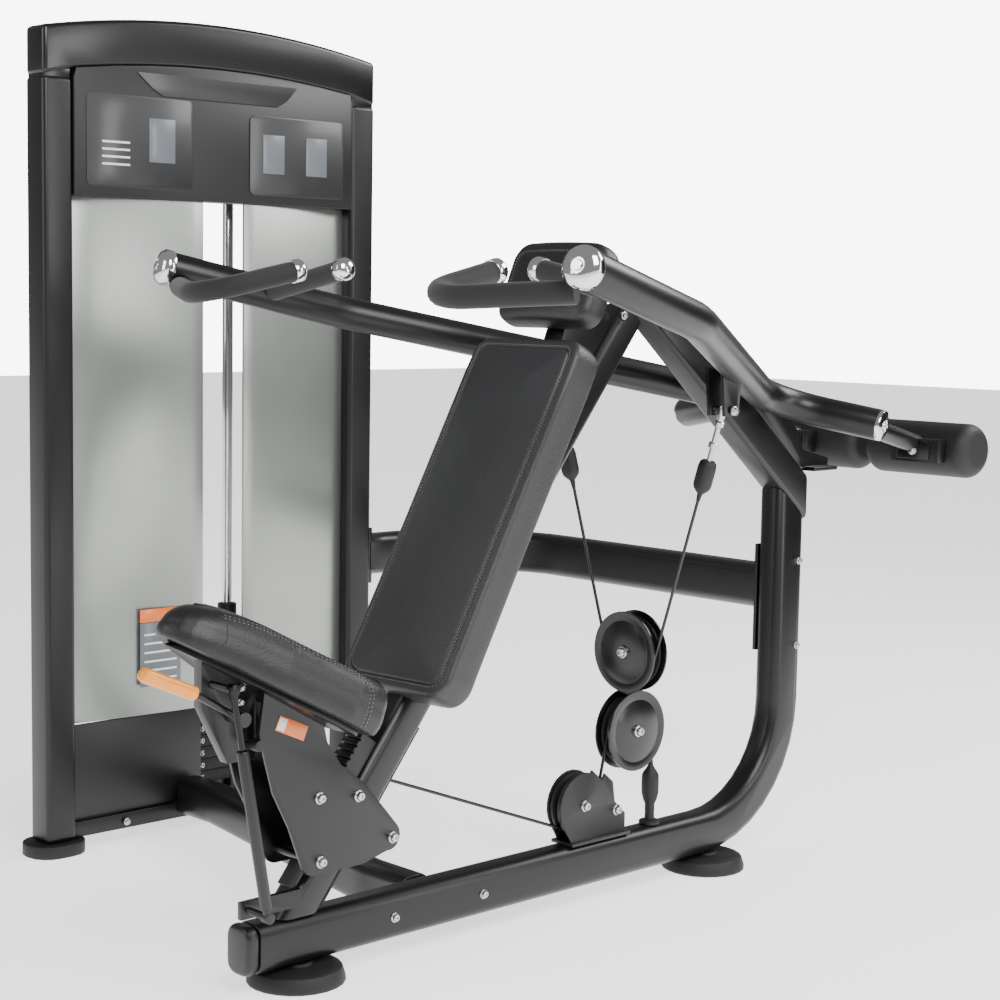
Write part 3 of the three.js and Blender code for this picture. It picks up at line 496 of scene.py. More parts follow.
class MACHINE_OT_tower(bpy.types.Operator):
    """Form the tower's columns and its arched top cap, and number the weight plates"""
    bl_idname = "shoulder_press.tower"
    bl_label = "Columns, cap and numbers"

    def execute(self, context):
        for name, y in COLUMNS.items():
            column = rounded_block(name, COLUMN_SIZE, spot(COLUMN_MIDDLE, y, COLUMN_CENTRE_HEIGHT),
                                   Matrix.Identity(3), 10, 5)
            hand_over(column, name + "_finished", FINISH["frame_coat"], "root", "frame_coat", [name])
        steps = 28
        upper = [(TOWER_LEFT + (TOWER_RIGHT - TOWER_LEFT) * k / steps) for k in range(steps + 1)]
        lower = [TOWER_LEFT + 64 + (TOWER_RIGHT - TOWER_LEFT - 128) * k / steps for k in range(steps + 1)]
        outline = ([(TOWER_LEFT, CAP_UNDERSIDE)] + [(y, arch(y, 1492, 34)) for y in lower]
                   + [(TOWER_RIGHT, CAP_UNDERSIDE)] + [(y, arch(y, 1578, 38)) for y in reversed(upper)])
        count = len(outline)
        points = [spot(x, y, z) for x in (COLUMN_MIDDLE - 33, COLUMN_MIDDLE + 33) for y, z in outline]
        faces = [tuple(reversed(range(count))), tuple(range(count, 2 * count))]
        faces += [(i, (i + 1) % count, count + (i + 1) % count, count + i) for i in range(count)]
        cap = new_mesh("cap", points, faces)
        outward(cap)
        apply_modifier(cap, "BEVEL", width=9 * MM, segments=4, limit_method="ANGLE",
                       angle_limit=math.radians(50))
        smooth(cap)
        shelf = rounded_block("shelf", (120, 340, 10), spot(-980, 461, 1531), Matrix.Identity(3), 1.5)
        hanger = rounded_block("hanger", (16, 14, 120), spot(-992, 440, 1470), Matrix.Identity(3), 1.5)
        axle = turned("axle", [(0, 0), (8, 0), (8, 42), (0, 42)], spot(-992, 432, 1430), BACK, 24)
        necks = [rounded_block("neck", (58, 56, 24), spot(COLUMN_MIDDLE, y, 1490), Matrix.Identity(3), 2)
                 for y in COLUMNS.values()]
        hand_over(joined([cap, shelf, hanger, axle, *necks], "cap"), "tower_cap_finished",
                  FINISH["gloss_plastic"], "root", "black_plastic", ["tower_cap"])
        upright = Matrix(((0, 0, 1), (1, 0, 0), (0, 1, 0))).to_4x4()
        for body, first, last in (("root", 0, RESTING_PLATES), ("weight_stack", RESTING_PLATES, PLATES)):
            digits = []
            for plate in range(first, last):
                bpy.ops.object.select_all(action="DESELECT")
                bpy.ops.object.text_add()
                text = bpy.context.object
                text.data.body = str(PLATE_STEP * (PLATES - plate))
                text.data.size = 15 * MM
                text.data.extrude = 0.3 * MM
                text.data.align_x = "CENTER"
                bpy.ops.object.convert(target="MESH")
                text = bpy.context.object
                height = 80 + PLATE_PITCH * plate + 6
                text.data.transform(Matrix.Translation(spot(-894.3, 446, height)) @ upright)
                digits.append(text)
            name = f"plate_numbers_{body}"
            hand_over(joined(digits, name), name, FINISH["label_light"], body, "iron")
        return {"FINISHED"}


# ---- fasteners -----------------------------------------------------------------------------------
BOLT = [(0, -2), (7.5, -2), (7.5, 0), (7.2, 1.6), (5.6, 2.6), (5.6, 3), (5.2, 5.6), (4.2, 6.6), (2.2, 6.8),
        (2.0, 5.2), (0, 5.2)]
BOLTS = {
    "base_bolts": ("root", 1.15, [((30, y, 72), LEFT) for y in (180, 380)]),
    "upright_bolts": ("root", 1.0, [((30, 1222, z), LEFT) for z in (412, 581)]
                      + [((0, 1242, z), BACK) for z in (430, 566)]),
    "side_plate_bolts": ("seat", 1.35, [((side * 52, y, z), LEFT * side) for side in (1, -1)
                                        for y, z in ((4, 305), (83, 296), (7, 202), (155, 216))]),
    "seat_bolts": ("seat", 0.8, [((24, -126, 492), LEFT), ((24, -128, 470), LEFT)]),
    "block_bolts": ("pulley_block", 1.5, [((0, 750, 446), -BACK), ((0, 790, 446), BACK),
                                          ((20, 774, 299), LEFT), ((-20, 774, 299), -LEFT)]),
    "low_pulley_bolts": ("root", 1.4, [((20, 637, 181), LEFT), ((-20, 637, 181), -LEFT),
                                       ((18, 722, 160), LEFT)]),
    "brace_bolts": ("root", 1.0, [((30, 700, 1060), LEFT), ((30, 740, 1110), LEFT)]),
    "tower_bolts": ("root", 1.0, [((-856, 392, 72), LEFT), ((-856, 240, 42), LEFT)]),
    "clevis_bolts_left": ("left_arm", 1.1, [((231, 770, 900), LEFT), ((179, 770, 900), -LEFT)]),
    "clevis_bolts_right": ("right_arm", 1.1, [((-231, 770, 900), -LEFT), ((-179, 770, 900), LEFT)]),
}


def fasteners(name, body, size, places):
    heads = []
    for place, direction in places:
        profile = [(radius * size, along * size) for radius, along in BOLT]
        heads.append(turned("head", profile, spot(*place), direction, 24))
    hand_over(joined(heads, name), name, FINISH["steel"], body, "steel")


class MACHINE_OT_fasteners(bpy.types.Operator):
    """Fit the zinc plated bolts on the frame, the side plates and the pulley blocks"""
    bl_idname = "shoulder_press.fasteners"
    bl_label = "Bolts"

    def execute(self, context):
        for name, (body, size, places) in BOLTS.items():
            fasteners(name, body, size, places)
        return {"FINISHED"}


# ---- arms ----------------------------------------------------------------------------------------
ARM_AXIS = Vector((0.947, 0.276, -0.163)).normalized()
HUB = Vector((238, 1185, 862))
FRONT = Vector((509, 106, 1130))
ARM_WAY = (FRONT - Vector((433, 432, 1057))).normalized()
DOME = [(0, 0.3), (31.5, 0.3), (32, 1), (32, 12), (31, 15), (28, 19), (23, 22.6), (16, 25), (12, 25.8),
        (11.4, 24), (8, 24), (8, 26.4), (7, 27.4), (0, 27.4)]
HUB_CAP = [(0, 0.3), (28.6, 0.3), (29, 0.8), (29, 6), (28, 8), (18, 10.4), (12, 10.8), (11.4, 9.4),
           (8.6, 9.4), (8.6, 14), (7.6, 15), (4, 15), (3.6, 12.4), (0, 12.4)]
RING = [(0, -9), (17, -9), (19.4, -8.6), (19.8, -8), (19.8, 8), (19.4, 8.6), (18, 11), (14, 14.6), (8, 17),
        (5, 17.4), (4.4, 16.4), (0, 16.4)]


def mirrored(side, vector):
    return Vector((side * vector.x, vector.y, vector.z))


def grip_ring(name, end, direction, body):
    ring = turned(name, RING, spot(*end), direction, 40)
    hand_over(ring, name, FINISH["chrome"], body, "chrome")


def make_arm_fittings(side, name):
    body = f"{name}_arm"
    dome = turned("dome", DOME, spot(*mirrored(side, FRONT)), mirrored(side, ARM_WAY))
    hand_over(dome, f"{name}_dome_cap", FINISH["chrome"], body, "chrome", [f"{name}_arm_dome"])
    cap = turned("cap", HUB_CAP, spot(*mirrored(side, HUB)), mirrored(side, ARM_AXIS))
    hand_over(cap, f"{name}_hub_disc", FINISH["chrome"], body, "chrome", [f"{name}_hub_cap"])

    bends = ((486, 112, 1098), (264, -12, 1084), (243, 196, 1131))
    corners = [spot(*mirrored(side, Vector(p))) for p in bends]
    route = rounded_line(corners, [62 * MM], 14)
    way = (route[-1] - route[-2]).normalized()
    front = swept("front_grip", route[:-1] + [route[-1] - way * 14 * MM], 18, 24)
    hand_over(front, f"{name}_front_foam", FINISH["foam"], body, "foam", [f"{name}_front_grip"])
    end = mirrored(side, Vector((243, 196, 1131))) - way * 16
    grip_ring(f"{name}_front_grip_ring", end, way, body)

    root = mirrored(side, Vector((438, 281, 1094)))
    tip = mirrored(side, Vector((226, 281, 1135)))
    way = (tip - root).normalized()
    bar = swept("bar_grip", [spot(*root), spot(*(tip - way * 14))], 18, 24)
    hand_over(bar, f"{name}_bar_foam", FINISH["foam"], body, "foam", [f"{name}_bar_grip"])
    grip_ring(f"{name}_bar_grip_ring", tip - way * 16, way, body)

    profile = [(0, 10)]
    for corner, first in ((10 + 26, -90), (254 - 26, 0)):
        profile += [(28 + 26 * math.cos(math.radians(first + 9 * k)),
                     corner + 26 * math.sin(math.radians(first + 9 * k))) for k in range(11)]
    profile.append((0, 254))
    weight = turned("weight", profile, spot(0, 1495, 800), LEFT * side, 56)
    hand_over(weight, f"{name}_weight_roll", FINISH["rubber"], body, "rubber", [f"{name}_counterweight"])
    plate = rounded_block("plate", (74, 4, 34), spot(side * 158, 1412, 801), Matrix.Identity(3), 1.2)
    hand_over(plate, f"{name}_weight_plate", FINISH["gloss_plastic"], body, "black_plastic")
    fasteners(f"{name}_weight_bolt", body, 1.3, [((side * 158, 1410, 801), -BACK)])


class MACHINE_OT_arms(bpy.types.Operator):
    """Fit the chrome ends, the foam grips and the counterweight rolls on both arms"""
    bl_idname = "shoulder_press.arms"
    bl_label = "Arm ends, grips and counterweights"

    def execute(self, context):
        make_arm_fittings(1, "left")
        make_arm_fittings(-1, "right")
        return {"FINISHED"}


# ---- cables and pulleys --------------------------------------------------------------------------
CLEVIS = Vector((205, 770, 900))
BLOCK_TOP = Vector((0, 770, 446))
BLOCK_BOTTOM = Vector((0, 774, 299))
LOW = Vector((0, 637, 181))
ROPE = 59
LEAN = math.atan2(CLEVIS.x - ROPE, CLEVIS.z - BLOCK_TOP.z)
FORK = [(0, -10), (6, -9.4), (8.4, -5), (8.6, 0), (7, 12), (6, 20), (9, 22), (9, 30), (5, 33), (5, 60),
        (8.6, 62), (8.6, 70), (4.6, 72), (4.6, 98), (0, 98)]
BOOT = [(0, 96), (12, 96), (15, 99), (16.6, 108), (16.6, 140), (15, 147), (10, 153),
        (5, 158), (3.4, 172), (0, 172)]
ANCHOR = [(0, 0.4), (20, 0.4), (20, 5), (18, 6.6), (9.4, 8), (9, 20), (9.4, 38), (13, 46), (16, 58),
          (16.4, 76), (16, 92), (13.4, 98), (9, 104), (5, 111), (3.6, 126), (0, 126)]
COVER = [(0, 0), (74.5, 0), (74.5, 3.4), (73.9, 4), (60, 4), (59, 3.4), (57, 3.4), (56, 4), (13, 4),
         (12, 5.4), (0, 5.4)]


def arc_points(centre, radius, across, start, end, steps):
    """Points round a wheel; angles in degrees from straight across, upwards."""
    points = []
    for k in range(steps + 1):
        angle = math.radians(start + (end - start) * k / steps)
        points.append(spot(*(centre + across * radius * math.cos(angle) + UP * radius * math.sin(angle))))
    return points


def make_link(side, name):
    body = f"{name}_link"
    top = mirrored(side, CLEVIS)
    end = mirrored(side, Vector((ROPE * math.cos(LEAN), BLOCK_TOP.y, BLOCK_TOP.z - ROPE * math.sin(LEAN))))
    way = (end - top).normalized()
    fork = turned("fork", FORK, spot(*top), way, 32)
    hand_over(fork, f"{name}_turnbuckle", FINISH["steel"], body, "steel", [f"{name}_cable_link"])
    boot = turned("boot", BOOT, spot(*top), way, 32)
    hand_over(boot, f"{name}_cable_boot", FINISH["rubber"], body, "rubber")
    cable = swept("cable", [spot(*(top + way * 150)), spot(*end)], 3, 12)
    hand_over(cable, f"{name}_arm_cable", FINISH["cable"], body, "cable")


def sheave(name, centre, axis, radius, body, node):
    groove = radius - 10
    profile = [(8.3, -12), (radius - 1, -12), (radius, -11), (radius, -6), (groove, -2.6), (groove, 2.6),
               (radius, 6), (radius, 11), (radius - 1, 12), (8.3, 12), (8.3, -12)]
    wheel = turned("sheave", profile, spot(*centre), axis, 48)
    hand_over(wheel, name, FINISH["black_plastic"], body, "black_plastic", [node])


def make_block():
    discs = []
    for centre, axis in ((BLOCK_TOP, BACK), (BLOCK_BOTTOM, LEFT)):
        for way in (1, -1):
            disc = turned("disc", COVER, spot(*(centre + axis * 14.4 * way)), axis * way, 64)
            discs.append(disc)
    yoke = rounded_block("yoke", (34, 34, 12), spot(0, 772, 372.5), Matrix.Identity(3), 2)
    hand_over(joined(discs + [yoke], "covers"), "block_covers", FINISH["gloss_plastic"], "pulley_block",
              "black_plastic", ["block_bracket"])
    sheave("block_top_sheave", BLOCK_TOP, BACK, 66, "block_top_wheel", "block_top_pulley")
    sheave("block_bottom_sheave", BLOCK_BOTTOM, LEFT, 66, "block_bottom_wheel", "block_bottom_pulley")
    sheave("low_sheave", LOW, LEFT, 57, "low_wheel", "low_pulley")
    sheave("top_sheave", TOP_PULLEY, BACK, 47, "top_wheel", "top_pulley")


def make_cables():
    lean = math.degrees(LEAN)
    wrap = swept("wrap", arc_points(BLOCK_TOP, ROPE, LEFT, -lean, lean - 180, 32), 3, 12)
    hand_over(wrap, "arm_cable_wrap", FINISH["cable"], "pulley_block", "cable", ["link_cable_wrap"])

    rear = [spot(0, BLOCK_BOTTOM.y + ROPE, 226 + 73 * k / 16) for k in range(16)]
    over = arc_points(BLOCK_BOTTOM, ROPE, BACK, 0, 180, 32)
    low = [over[-1].lerp(spot(0, LOW.y + 50, LOW.z + 2), k / 16) for k in range(1, 17)]
    drive = swept("drive", rear + over + low, 3, 12)
    drive.name = "block_drive_cable"
    drive.data.materials.clear()
    drive.data.materials.append(FINISH["cable"])
    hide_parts("block_cable")
    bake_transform(drive)

    under = arc_points(LOW, 50, BACK, 0, -111, 20)
    front = swept("front", under + [spot(0, 186, 297)], 3, 12)
    hand_over(front, "front_drive_cable", FINISH["cable"], "root", "cable", ["front_cable"])

    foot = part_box("lifted_plates")[1].z + 0.3 * MM
    top = spot(TOP_PULLEY.x + 40, TOP_PULLEY.y, TOP_PULLEY.z)
    rise = [Vector((top.x, top.y, foot + (top.z - foot) * k / 40)) for k in range(41)]
    lift = swept("lift", rise, 3, 12)
    lift.name = "stack_lift_cable"
    lift.data.materials.clear()
    lift.data.materials.append(FINISH["cable"])
    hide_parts("stack_cable")
    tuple(rise[0])
    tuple(rise[-1])
    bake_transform(lift)
    back = swept("back", arc_points(TOP_PULLEY, 40, LEFT, 0, 180, 24) + [spot(-1032, 461, 51)], 3, 12)
    hand_over(back, "stack_return_cable", FINISH["cable"], "root", "cable")

    anchor = turned("anchor", ANCHOR, spot(0, BLOCK_BOTTOM.y + ROPE, 112), UP, 40)
    hand_over(anchor, "cable_anchor_boot", FINISH["rubber"], "root", "rubber", ["cable_anchor"])


class MACHINE_OT_cables(bpy.types.Operator):
    """String the cables with their turnbuckles, boots, sheaves and covers"""
    bl_idname = "shoulder_press.cables"
    bl_label = "Cables and pulleys"

    def execute(self, context):
        make_link(1, "left")
        make_link(-1, "right")
        make_block()
        make_cables()
        return {"FINISHED"}


# ---- pads ----------------------------------------------------------------------------------------
def arc2(centre, radius, start, end, steps=8):
    return [(centre[0] + radius * math.cos(math.radians(start + (end - start) * k / steps)),
             centre[1] + radius * math.sin(math.radians(start + (end - start) * k / steps)))
            for k in range(steps + 1)]


def even_outline(corners, count):
    """The same closed outline with evenly spaced points."""
    loop = [Vector(c) for c in corners] + [Vector(corners[0])]
    lengths = [(b - a).length for a, b in zip(loop, loop[1:])]
    total = sum(lengths)
    points = []
    leg, done = 0, 0.0
    for k in range(count):
        target = total * k / count
        while done + lengths[leg] < target:
            done += lengths[leg]
            leg += 1
        points.append(loop[leg].lerp(loop[leg + 1], (target - done) / lengths[leg]))
    return points


def inward(points):
    """Unit vectors that point into a closed outline drawn anticlockwise."""
    count = len(points)
    found = []
    for i in range(count):
        along = (points[(i + 1) % count] - points[i - 1]).normalized()
        found.append(Vector((-along.y, along.x)))
    return found


def pad_rings(outline, profile, spine):
    """Rings of a pad: the outline moved inwards, then drawn together on to the line along its middle."""
    normals = inward(outline)
    low, high = spine
    for inset, share, height in profile:
        ring = []
        for point, normal in zip(outline, normals):
            moved = point + normal * inset
            middle = Vector((0, min(max(moved.y, low), high)))
            flat = moved.lerp(middle, share)
            ring.append((flat.x, flat.y, height))
        yield ring


def pad_profile(thick, edge, crown, seam=20):
    """Inset, share towards the middle and height, from the back of a pad round to its crown."""
    profile = [(24, 1.0, 0), (24, 0.5, 0), (24, 0, 0), (8, 0, 0), (3, 0, 1.5), (0.5, 0, 5)]
    straight = thick - edge
    profile += [(-1.5 * math.sin(math.pi * k / 6), 0, 5 + (straight - 5) * k / 6) for k in range(1, 7)]
    turns = [math.radians(15 * k) for k in range(1, 6)]
    profile += [(edge * (1 - math.cos(turn)), 0, straight + edge * math.sin(turn)) for turn in turns]
    profile += [(seam - 2, 0, thick + 0.6), (seam - 0.8, 0, thick - 1.0), (seam, 0, thick - 2.2),
                (seam + 0.8, 0, thick - 1.0), (seam + 2.4, 0, thick + 1.0)]
    steps = 10
    profile += [(seam + 4, k / steps, thick + 1.6 + crown * math.sin(math.pi / 2 * k / steps))
                for k in range(steps + 1)]
    return profile


def sewn_pad(name, outline, profile, spine, lay, finish, body, node, seams):
    """A closed padded form with sewn seams; lay puts a point of the pad's own frame in its place."""
    points = even_outline(outline, 220)
    rings = list(pad_rings(points, profile, spine))
    count = len(points)
    vertices = [lay(Vector(p)) for ring in rings for p in ring]
    faces = []
    for start in range(0, (len(rings) - 1) * count, count):
        for i in range(count):
            after = (i + 1) % count
            faces.append((start + i, start + after, start + count + after, start + count + i))
    pad = new_mesh(name, vertices, faces)
    outward(pad, 2e-4)
    apply_modifier(pad, "SUBSURF", levels=1, render_levels=1)
    smooth(pad, 80)
    hand_over(pad, name, finish, body, "leather", [node])
    for row, (inset, height) in enumerate(seams):
        stitch_row(f"{name}_stitches_{row}", points, inset, height, lay, body)
    return pad


def stitch_row(name, outline, inset, height, lay, body, length=3.4, every=5.6):
    """A row of separate stitches along an outline, each a short flattened spindle."""
    normals = inward(outline)
    path = [p + n * inset for p, n in zip(outline, normals)]
    total = sum((b - a).length for a, b in zip(path, path[1:] + path[:1]))
    spots = even_outline([tuple(p) for p in path], int(total / every))
    vertices, faces = [], []
    half = 0.55
    for i, place in enumerate(spots):
        along = (spots[(i + 1) % len(spots)] - spots[i - 1]).normalized()
        across = Vector((-along.y, along.x))
        base = len(vertices)
        ends = [place - along * length / 2, place + along * length / 2]
        ring = [(place + across * half, 0.0), (place, half), (place - across * half, 0.0), (place, -half)]
        vertices.append(lay(Vector((*ends[0], height - 0.3))))
        vertices += [lay(Vector((*flat, height + up))) for flat, up in ring]
        vertices.append(lay(Vector((*ends[1], height - 0.3))))
        for k in range(4):
            after = (k + 1) % 4
            faces.append((base, base + 1 + after, base + 1 + k))
            faces.append((base + 5, base + 1 + k, base + 1 + after))
    row = new_mesh(name, vertices, faces)
    outward(row, 1e-7)
    hand_over(row, name, FINISH["thread"], body, "leather")


def back_outline():
    """The back pad's plan, wider and rounder at the bottom and clipped at its top corners."""
    side = [(131, 60), (129, 300), (131, 588), (129, 628), (122, 644), (104, 656)]
    return ([(-92, 0)] + arc2((92, 44), 40, -90, -4) + side + [(-x, y) for x, y in reversed(side)]
            + arc2((-92, 44), 40, 184, 270))


def lay_back(p):
    """The back pad leans with the tube behind it and faces forwards."""
    lean = math.radians(28.6)
    foot = Vector((0, 235.7, 417.4))
    along = Vector((0, math.sin(lean), math.cos(lean)))
    forward = Vector((0, -math.cos(lean), math.sin(lean)))
    return spot(*(foot + Vector((p.x, 0, 0)) + along * p.y + forward * p.z))


def seat_outline():
    half = [(0, 0), (124, 0), (140, 5), (149, 18), (151, 40), (149, 72), (128, 140), (110, 187), (92, 224),
            (72, 268), (56, 303), (42, 326), (26, 342), (10, 350), (0, 352)]
    return half + [(-x, y) for x, y in reversed(half[1:-1])]


def lay_seat(p):
    """The seat tilts back; its nose rolls over and its middle dips a little."""
    tilt = math.radians(30)
    share = p.y / 352
    drop = 34 * max(share - 0.6, 0) ** 2 / 0.16 * (p.z / 88)
    dish = 4 * math.sin(math.pi * min(share * 1.2, 1)) * (p.z / 88)
    height = p.z - drop - dish
    along = Vector((0, -math.cos(tilt), math.sin(tilt)))
    upward = Vector((0, math.sin(tilt), math.cos(tilt)))
    return spot(*(Vector((0, 45, 408)) + Vector((-p.x, 0, 0)) + along * p.y + upward * height))


def saddle_profile(thick, edge, crown):
    """A deep pad whose top edge is one large round, with no sewn channel of its own."""
    profile = [(24, 1.0, 0), (24, 0.5, 0), (24, 0, 0), (8, 0, 0), (3, 0, 1.5), (0.5, 0, 5)]
    straight = thick - edge
    profile += [(-2.5 * math.sin(math.pi * k / 6), 0, 5 + (straight - 5) * k / 6) for k in range(1, 7)]
    profile += [(edge * 0.8 * (1 - math.cos(math.radians(9 * k))), 0,
                 straight + edge * math.sin(math.radians(9 * k))) for k in range(1, 10)]
    steps = 12
    profile += [(edge * 0.8, k / steps, thick + crown * math.sin(math.pi / 2 * k / steps))
                for k in range(steps + 1)]
    return profile


def seam_on(pad, name, guide, body, rows=(0,), every=5.6):
    """Sews rows of stitches and a sunken welt where a guide line meets a pad's surface."""
    fine = [a.lerp(b, k / 24) for a, b in zip(guide, guide[1:]) for k in range(24)] + [guide[-1]]
    found = [pad.closest_point_on_mesh(point)[1:3] for point in fine]
    vertices, faces = [], []
    for offset in rows:
        shifted = []
        for i, (place, normal) in enumerate(found):
            along = (found[min(i + 1, len(found) - 1)][0] - found[max(i - 1, 0)][0]).normalized()
            side = along.cross(normal).normalized()
            hit = pad.closest_point_on_mesh(place + side * offset * MM)
            shifted.append((hit[1], hit[2], along))
        travelled = 0.0
        for (before, _, _), (place, normal, along) in zip(shifted, shifted[1:]):
            travelled += (place - before).length
            if travelled < every * MM:
                continue
            travelled = 0.0
            across = along.cross(normal).normalized() * 0.55 * MM
            rise = normal * 0.7 * MM
            tip = along * 1.8 * MM
            base = len(vertices)
            vertices += [place - tip, place + across, place + rise, place - across, place - rise, place + tip]
            for k in range(4):
                after = (k + 1) % 4
                faces += [(base, base + 1 + after, base + 1 + k), (base + 5, base + 1 + k, base + 1 + after)]
    row = new_mesh(name, vertices, faces)
    outward(row, 1e-7)
    hand_over(row, name, FINISH["thread"], body, "leather")
    middle = sum(rows) / len(rows)
    line = [place - normal * 0.35 * MM for place, normal in found]
    if middle == 0:
        welt = swept(name + "_welt", line, 0.9, 8)
        hand_over(welt, name + "_welt", FINISH["leather"], body, "leather")


def head_outline():
    return (arc2((84, 30), 28, -90, 0) + arc2((76, 112), 38, 0, 90) + arc2((-76, 112), 38, 90, 180)
            + arc2((-84, 30), 28, 180, 270))


def lay_head(p):
    lean = math.radians(24)
    curl = 0.0011 * p.x * p.x
    foot = Vector((0, 552, 1032))
    along = Vector((0, math.sin(lean), math.cos(lean)))
    forward = Vector((0, -math.cos(lean), math.sin(lean)))
    return spot(*(foot + Vector((p.x, 0, 0)) + along * p.y + forward * (p.z - curl * p.z / 66)))


class MACHINE_OT_pads(bpy.types.Operator):
    """Sew the seat, the back pad and the headrest"""
    bl_idname = "shoulder_press.pads"
    bl_label = "Pads"

    def execute(self, context):
        sewn_pad("back_cushion", back_outline(), pad_profile(62, 12, 7), (118, 540), lay_back,
                 FINISH["pad_leather"], "root", "back_pad", [(16, 62.6), (24.5, 63.2)])
        seat = sewn_pad("seat_cushion", seat_outline(), saddle_profile(84, 42, 4), (118, 318), lay_seat,
                        FINISH["leather"], "seat", "seat_pad", [])
        for side, name in ((1, "left"), (-1, "right")):
            crest = [(56, 304, 88), (78, 250, 92), (104, 180, 92), (124, 120, 92), (134, 84, 90),
                     (142, 62, 80), (152, 50, 56), (154, 46, 30), (152, 44, 4)]
            guide = [lay_seat(Vector((-side * x, y, z))) for x, y, z in crest]
            seam_on(seat, f"seat_crest_seam_{name}", guide, "seat", (-3.5, 3.5))
        nose = [(-70, 288, 4), (-76, 288, 40), (-60, 296, 86), (0, 300, 96), (60, 296, 86), (76, 288, 40),
                (70, 288, 4)]
        seam_on(seat, "seat_nose_seam", [lay_seat(Vector(p)) for p in nose], "seat")
        sewn_pad("head_cushion", head_outline(), pad_profile(58, 20, 6, 27), (66, 86), lay_head,
                 FINISH["leather"], "root", "headrest", [(23, 58.6)])
        return {"FINISHED"}


# ---- seat lever and labels -----------------------------------------------------------------------
class MACHINE_OT_lever(bpy.types.Operator):
    """Bend the yellow seat lever"""
    bl_idname = "shoulder_press.lever"
    bl_label = "Seat lever"

    def execute(self, context):
        route = rounded_line([spot(60, -143, 446), spot(60, -237, 502), spot(60, -326, 541)], [60 * MM], 8)
        bar = swept("bar", route, 5.5, 16)
        hub = turned("hub", [(0, 0), (11.4, 0), (12, 0.6), (12, 11.4), (11.4, 12), (0, 12)],
                     spot(54, -150, 452), LEFT, 32)
        hand_over(joined([bar, hub], "lever"), "seat_lever_bar", FINISH["frame_coat"], "lever", "frame_coat",
                  ["seat_lever"])
        grip = [(0, 0), (9, 0), (11, 1.5), (11.4, 30), (11, 70), (11.6, 95), (9.6, 101), (5, 104), (0, 104.6)]
        sleeve = turned("sleeve", grip, spot(60, -237, 502), (0, -95, 41.7), 32)
        hand_over(sleeve, "seat_lever_grip", FINISH["lever_paint"], "lever", "lever_paint")
        return {"FINISHED"}


def facing_front(size, x, y, z, name, finish, slot="black_plastic", body="root", rim=0.4):
    """A thin overlay on a face that looks along +X: size is depth, width and height."""
    piece = rounded_block(name, size, spot(x, y, z), Matrix.Identity(3), rim, 2)
    return hand_over(piece, name, FINISH[finish], body, slot)


def shaped_plate(name, outline, x, depth, finish, slot="black_plastic"):
    """A flat overlay from an outline of (Y, Z) millimetres on a face that looks along +X."""
    count = len(outline)
    points = [spot(x + d, y, z) for d in (0, depth) for y, z in outline]
    faces = [tuple(reversed(range(count))), tuple(range(count, 2 * count))]
    faces += [(i, (i + 1) % count, count + (i + 1) % count, count + i) for i in range(count)]
    plate = new_mesh(name, points, faces)
    outward(plate)
    apply_modifier(plate, "BEVEL", width=0.5 * MM, segments=2, limit_method="ANGLE",
                   angle_limit=math.radians(50))
    smooth(plate)
    return hand_over(plate, name, FINISH[finish], "root", slot)


def round_plate(y0, y1, z0, z1, corner=14):
    return (arc2((y1 - corner, z0 + corner), corner, -90, 0) + arc2((y1 - corner, z1 - corner), corner, 0, 90)
            + arc2((y0 + corner, z1 - corner), corner, 90, 180)
            + arc2((y0 + corner, z0 + corner), corner, 180, 270))


class MACHINE_OT_labels(bpy.types.Operator):
    """Stick on the plain header plates, rating block and safety tag"""
    bl_idname = "shoulder_press.labels"
    bl_label = "Labels"

    def execute(self, context):
        face = -849.7
        shaped_plate("header_plate_left", round_plate(150, 392, 1286, 1462), face, 1.2, "label_dark")
        shaped_plate("header_plate_right", round_plate(530, 772, 1286, 1446), face, 1.2, "label_dark")
        trapezoid = [(262, 1508), (300, 1478), (322, 1466), (600, 1466), (622, 1478), (650, 1508)]
        shaped_plate("header_plate_top", trapezoid, face + 0.2, 1.4, "label_dark")
        pictures = ((320, 1380, 60, 84), (590, 1370, 54, 78), (700, 1370, 54, 78))
        for k, (y, z, wide, high) in enumerate(pictures):
            facing_front((0.8, wide, high), face + 1.4, y, z, f"header_picture_{k}", "label_grey")
        for k in range(4):
            facing_front((0.6, 62, 4), face + 1.4, 215, 1330 + 14 * k, f"header_line_{k}", "label_light",
                         rim=0.2)
        facing_front((0.8, 96, 128), -853.5, 318, 372, "rating_block", "label_grey", "silver_paint")
        facing_front((1.0, 96, 26), -853.4, 318, 450, "rating_band", "label_orange", "silver_paint")
        for k in range(6):
            facing_front((0.6, 76, 4), -852.9, 318, 322 + 18 * k, f"rating_line_{k}", "label_light",
                         "silver_paint", rim=0.2)
        turn = Matrix.Rotation(math.radians(24), 3, "X")
        for name, finish, size, place in (
                ("safety_tag", "label_orange", (0.8, 60, 24), (52.6, -52, 424)),
                ("safety_tag_sign", "label_light", (1.0, 16, 20), (52.8, -71, 432.6))):
            tag = rounded_block(name, size, spot(*place), turn.transposed(), 0.3, 2)
            hand_over(tag, name, FINISH[finish], "seat", "lever_paint")
        return {"FINISHED"}


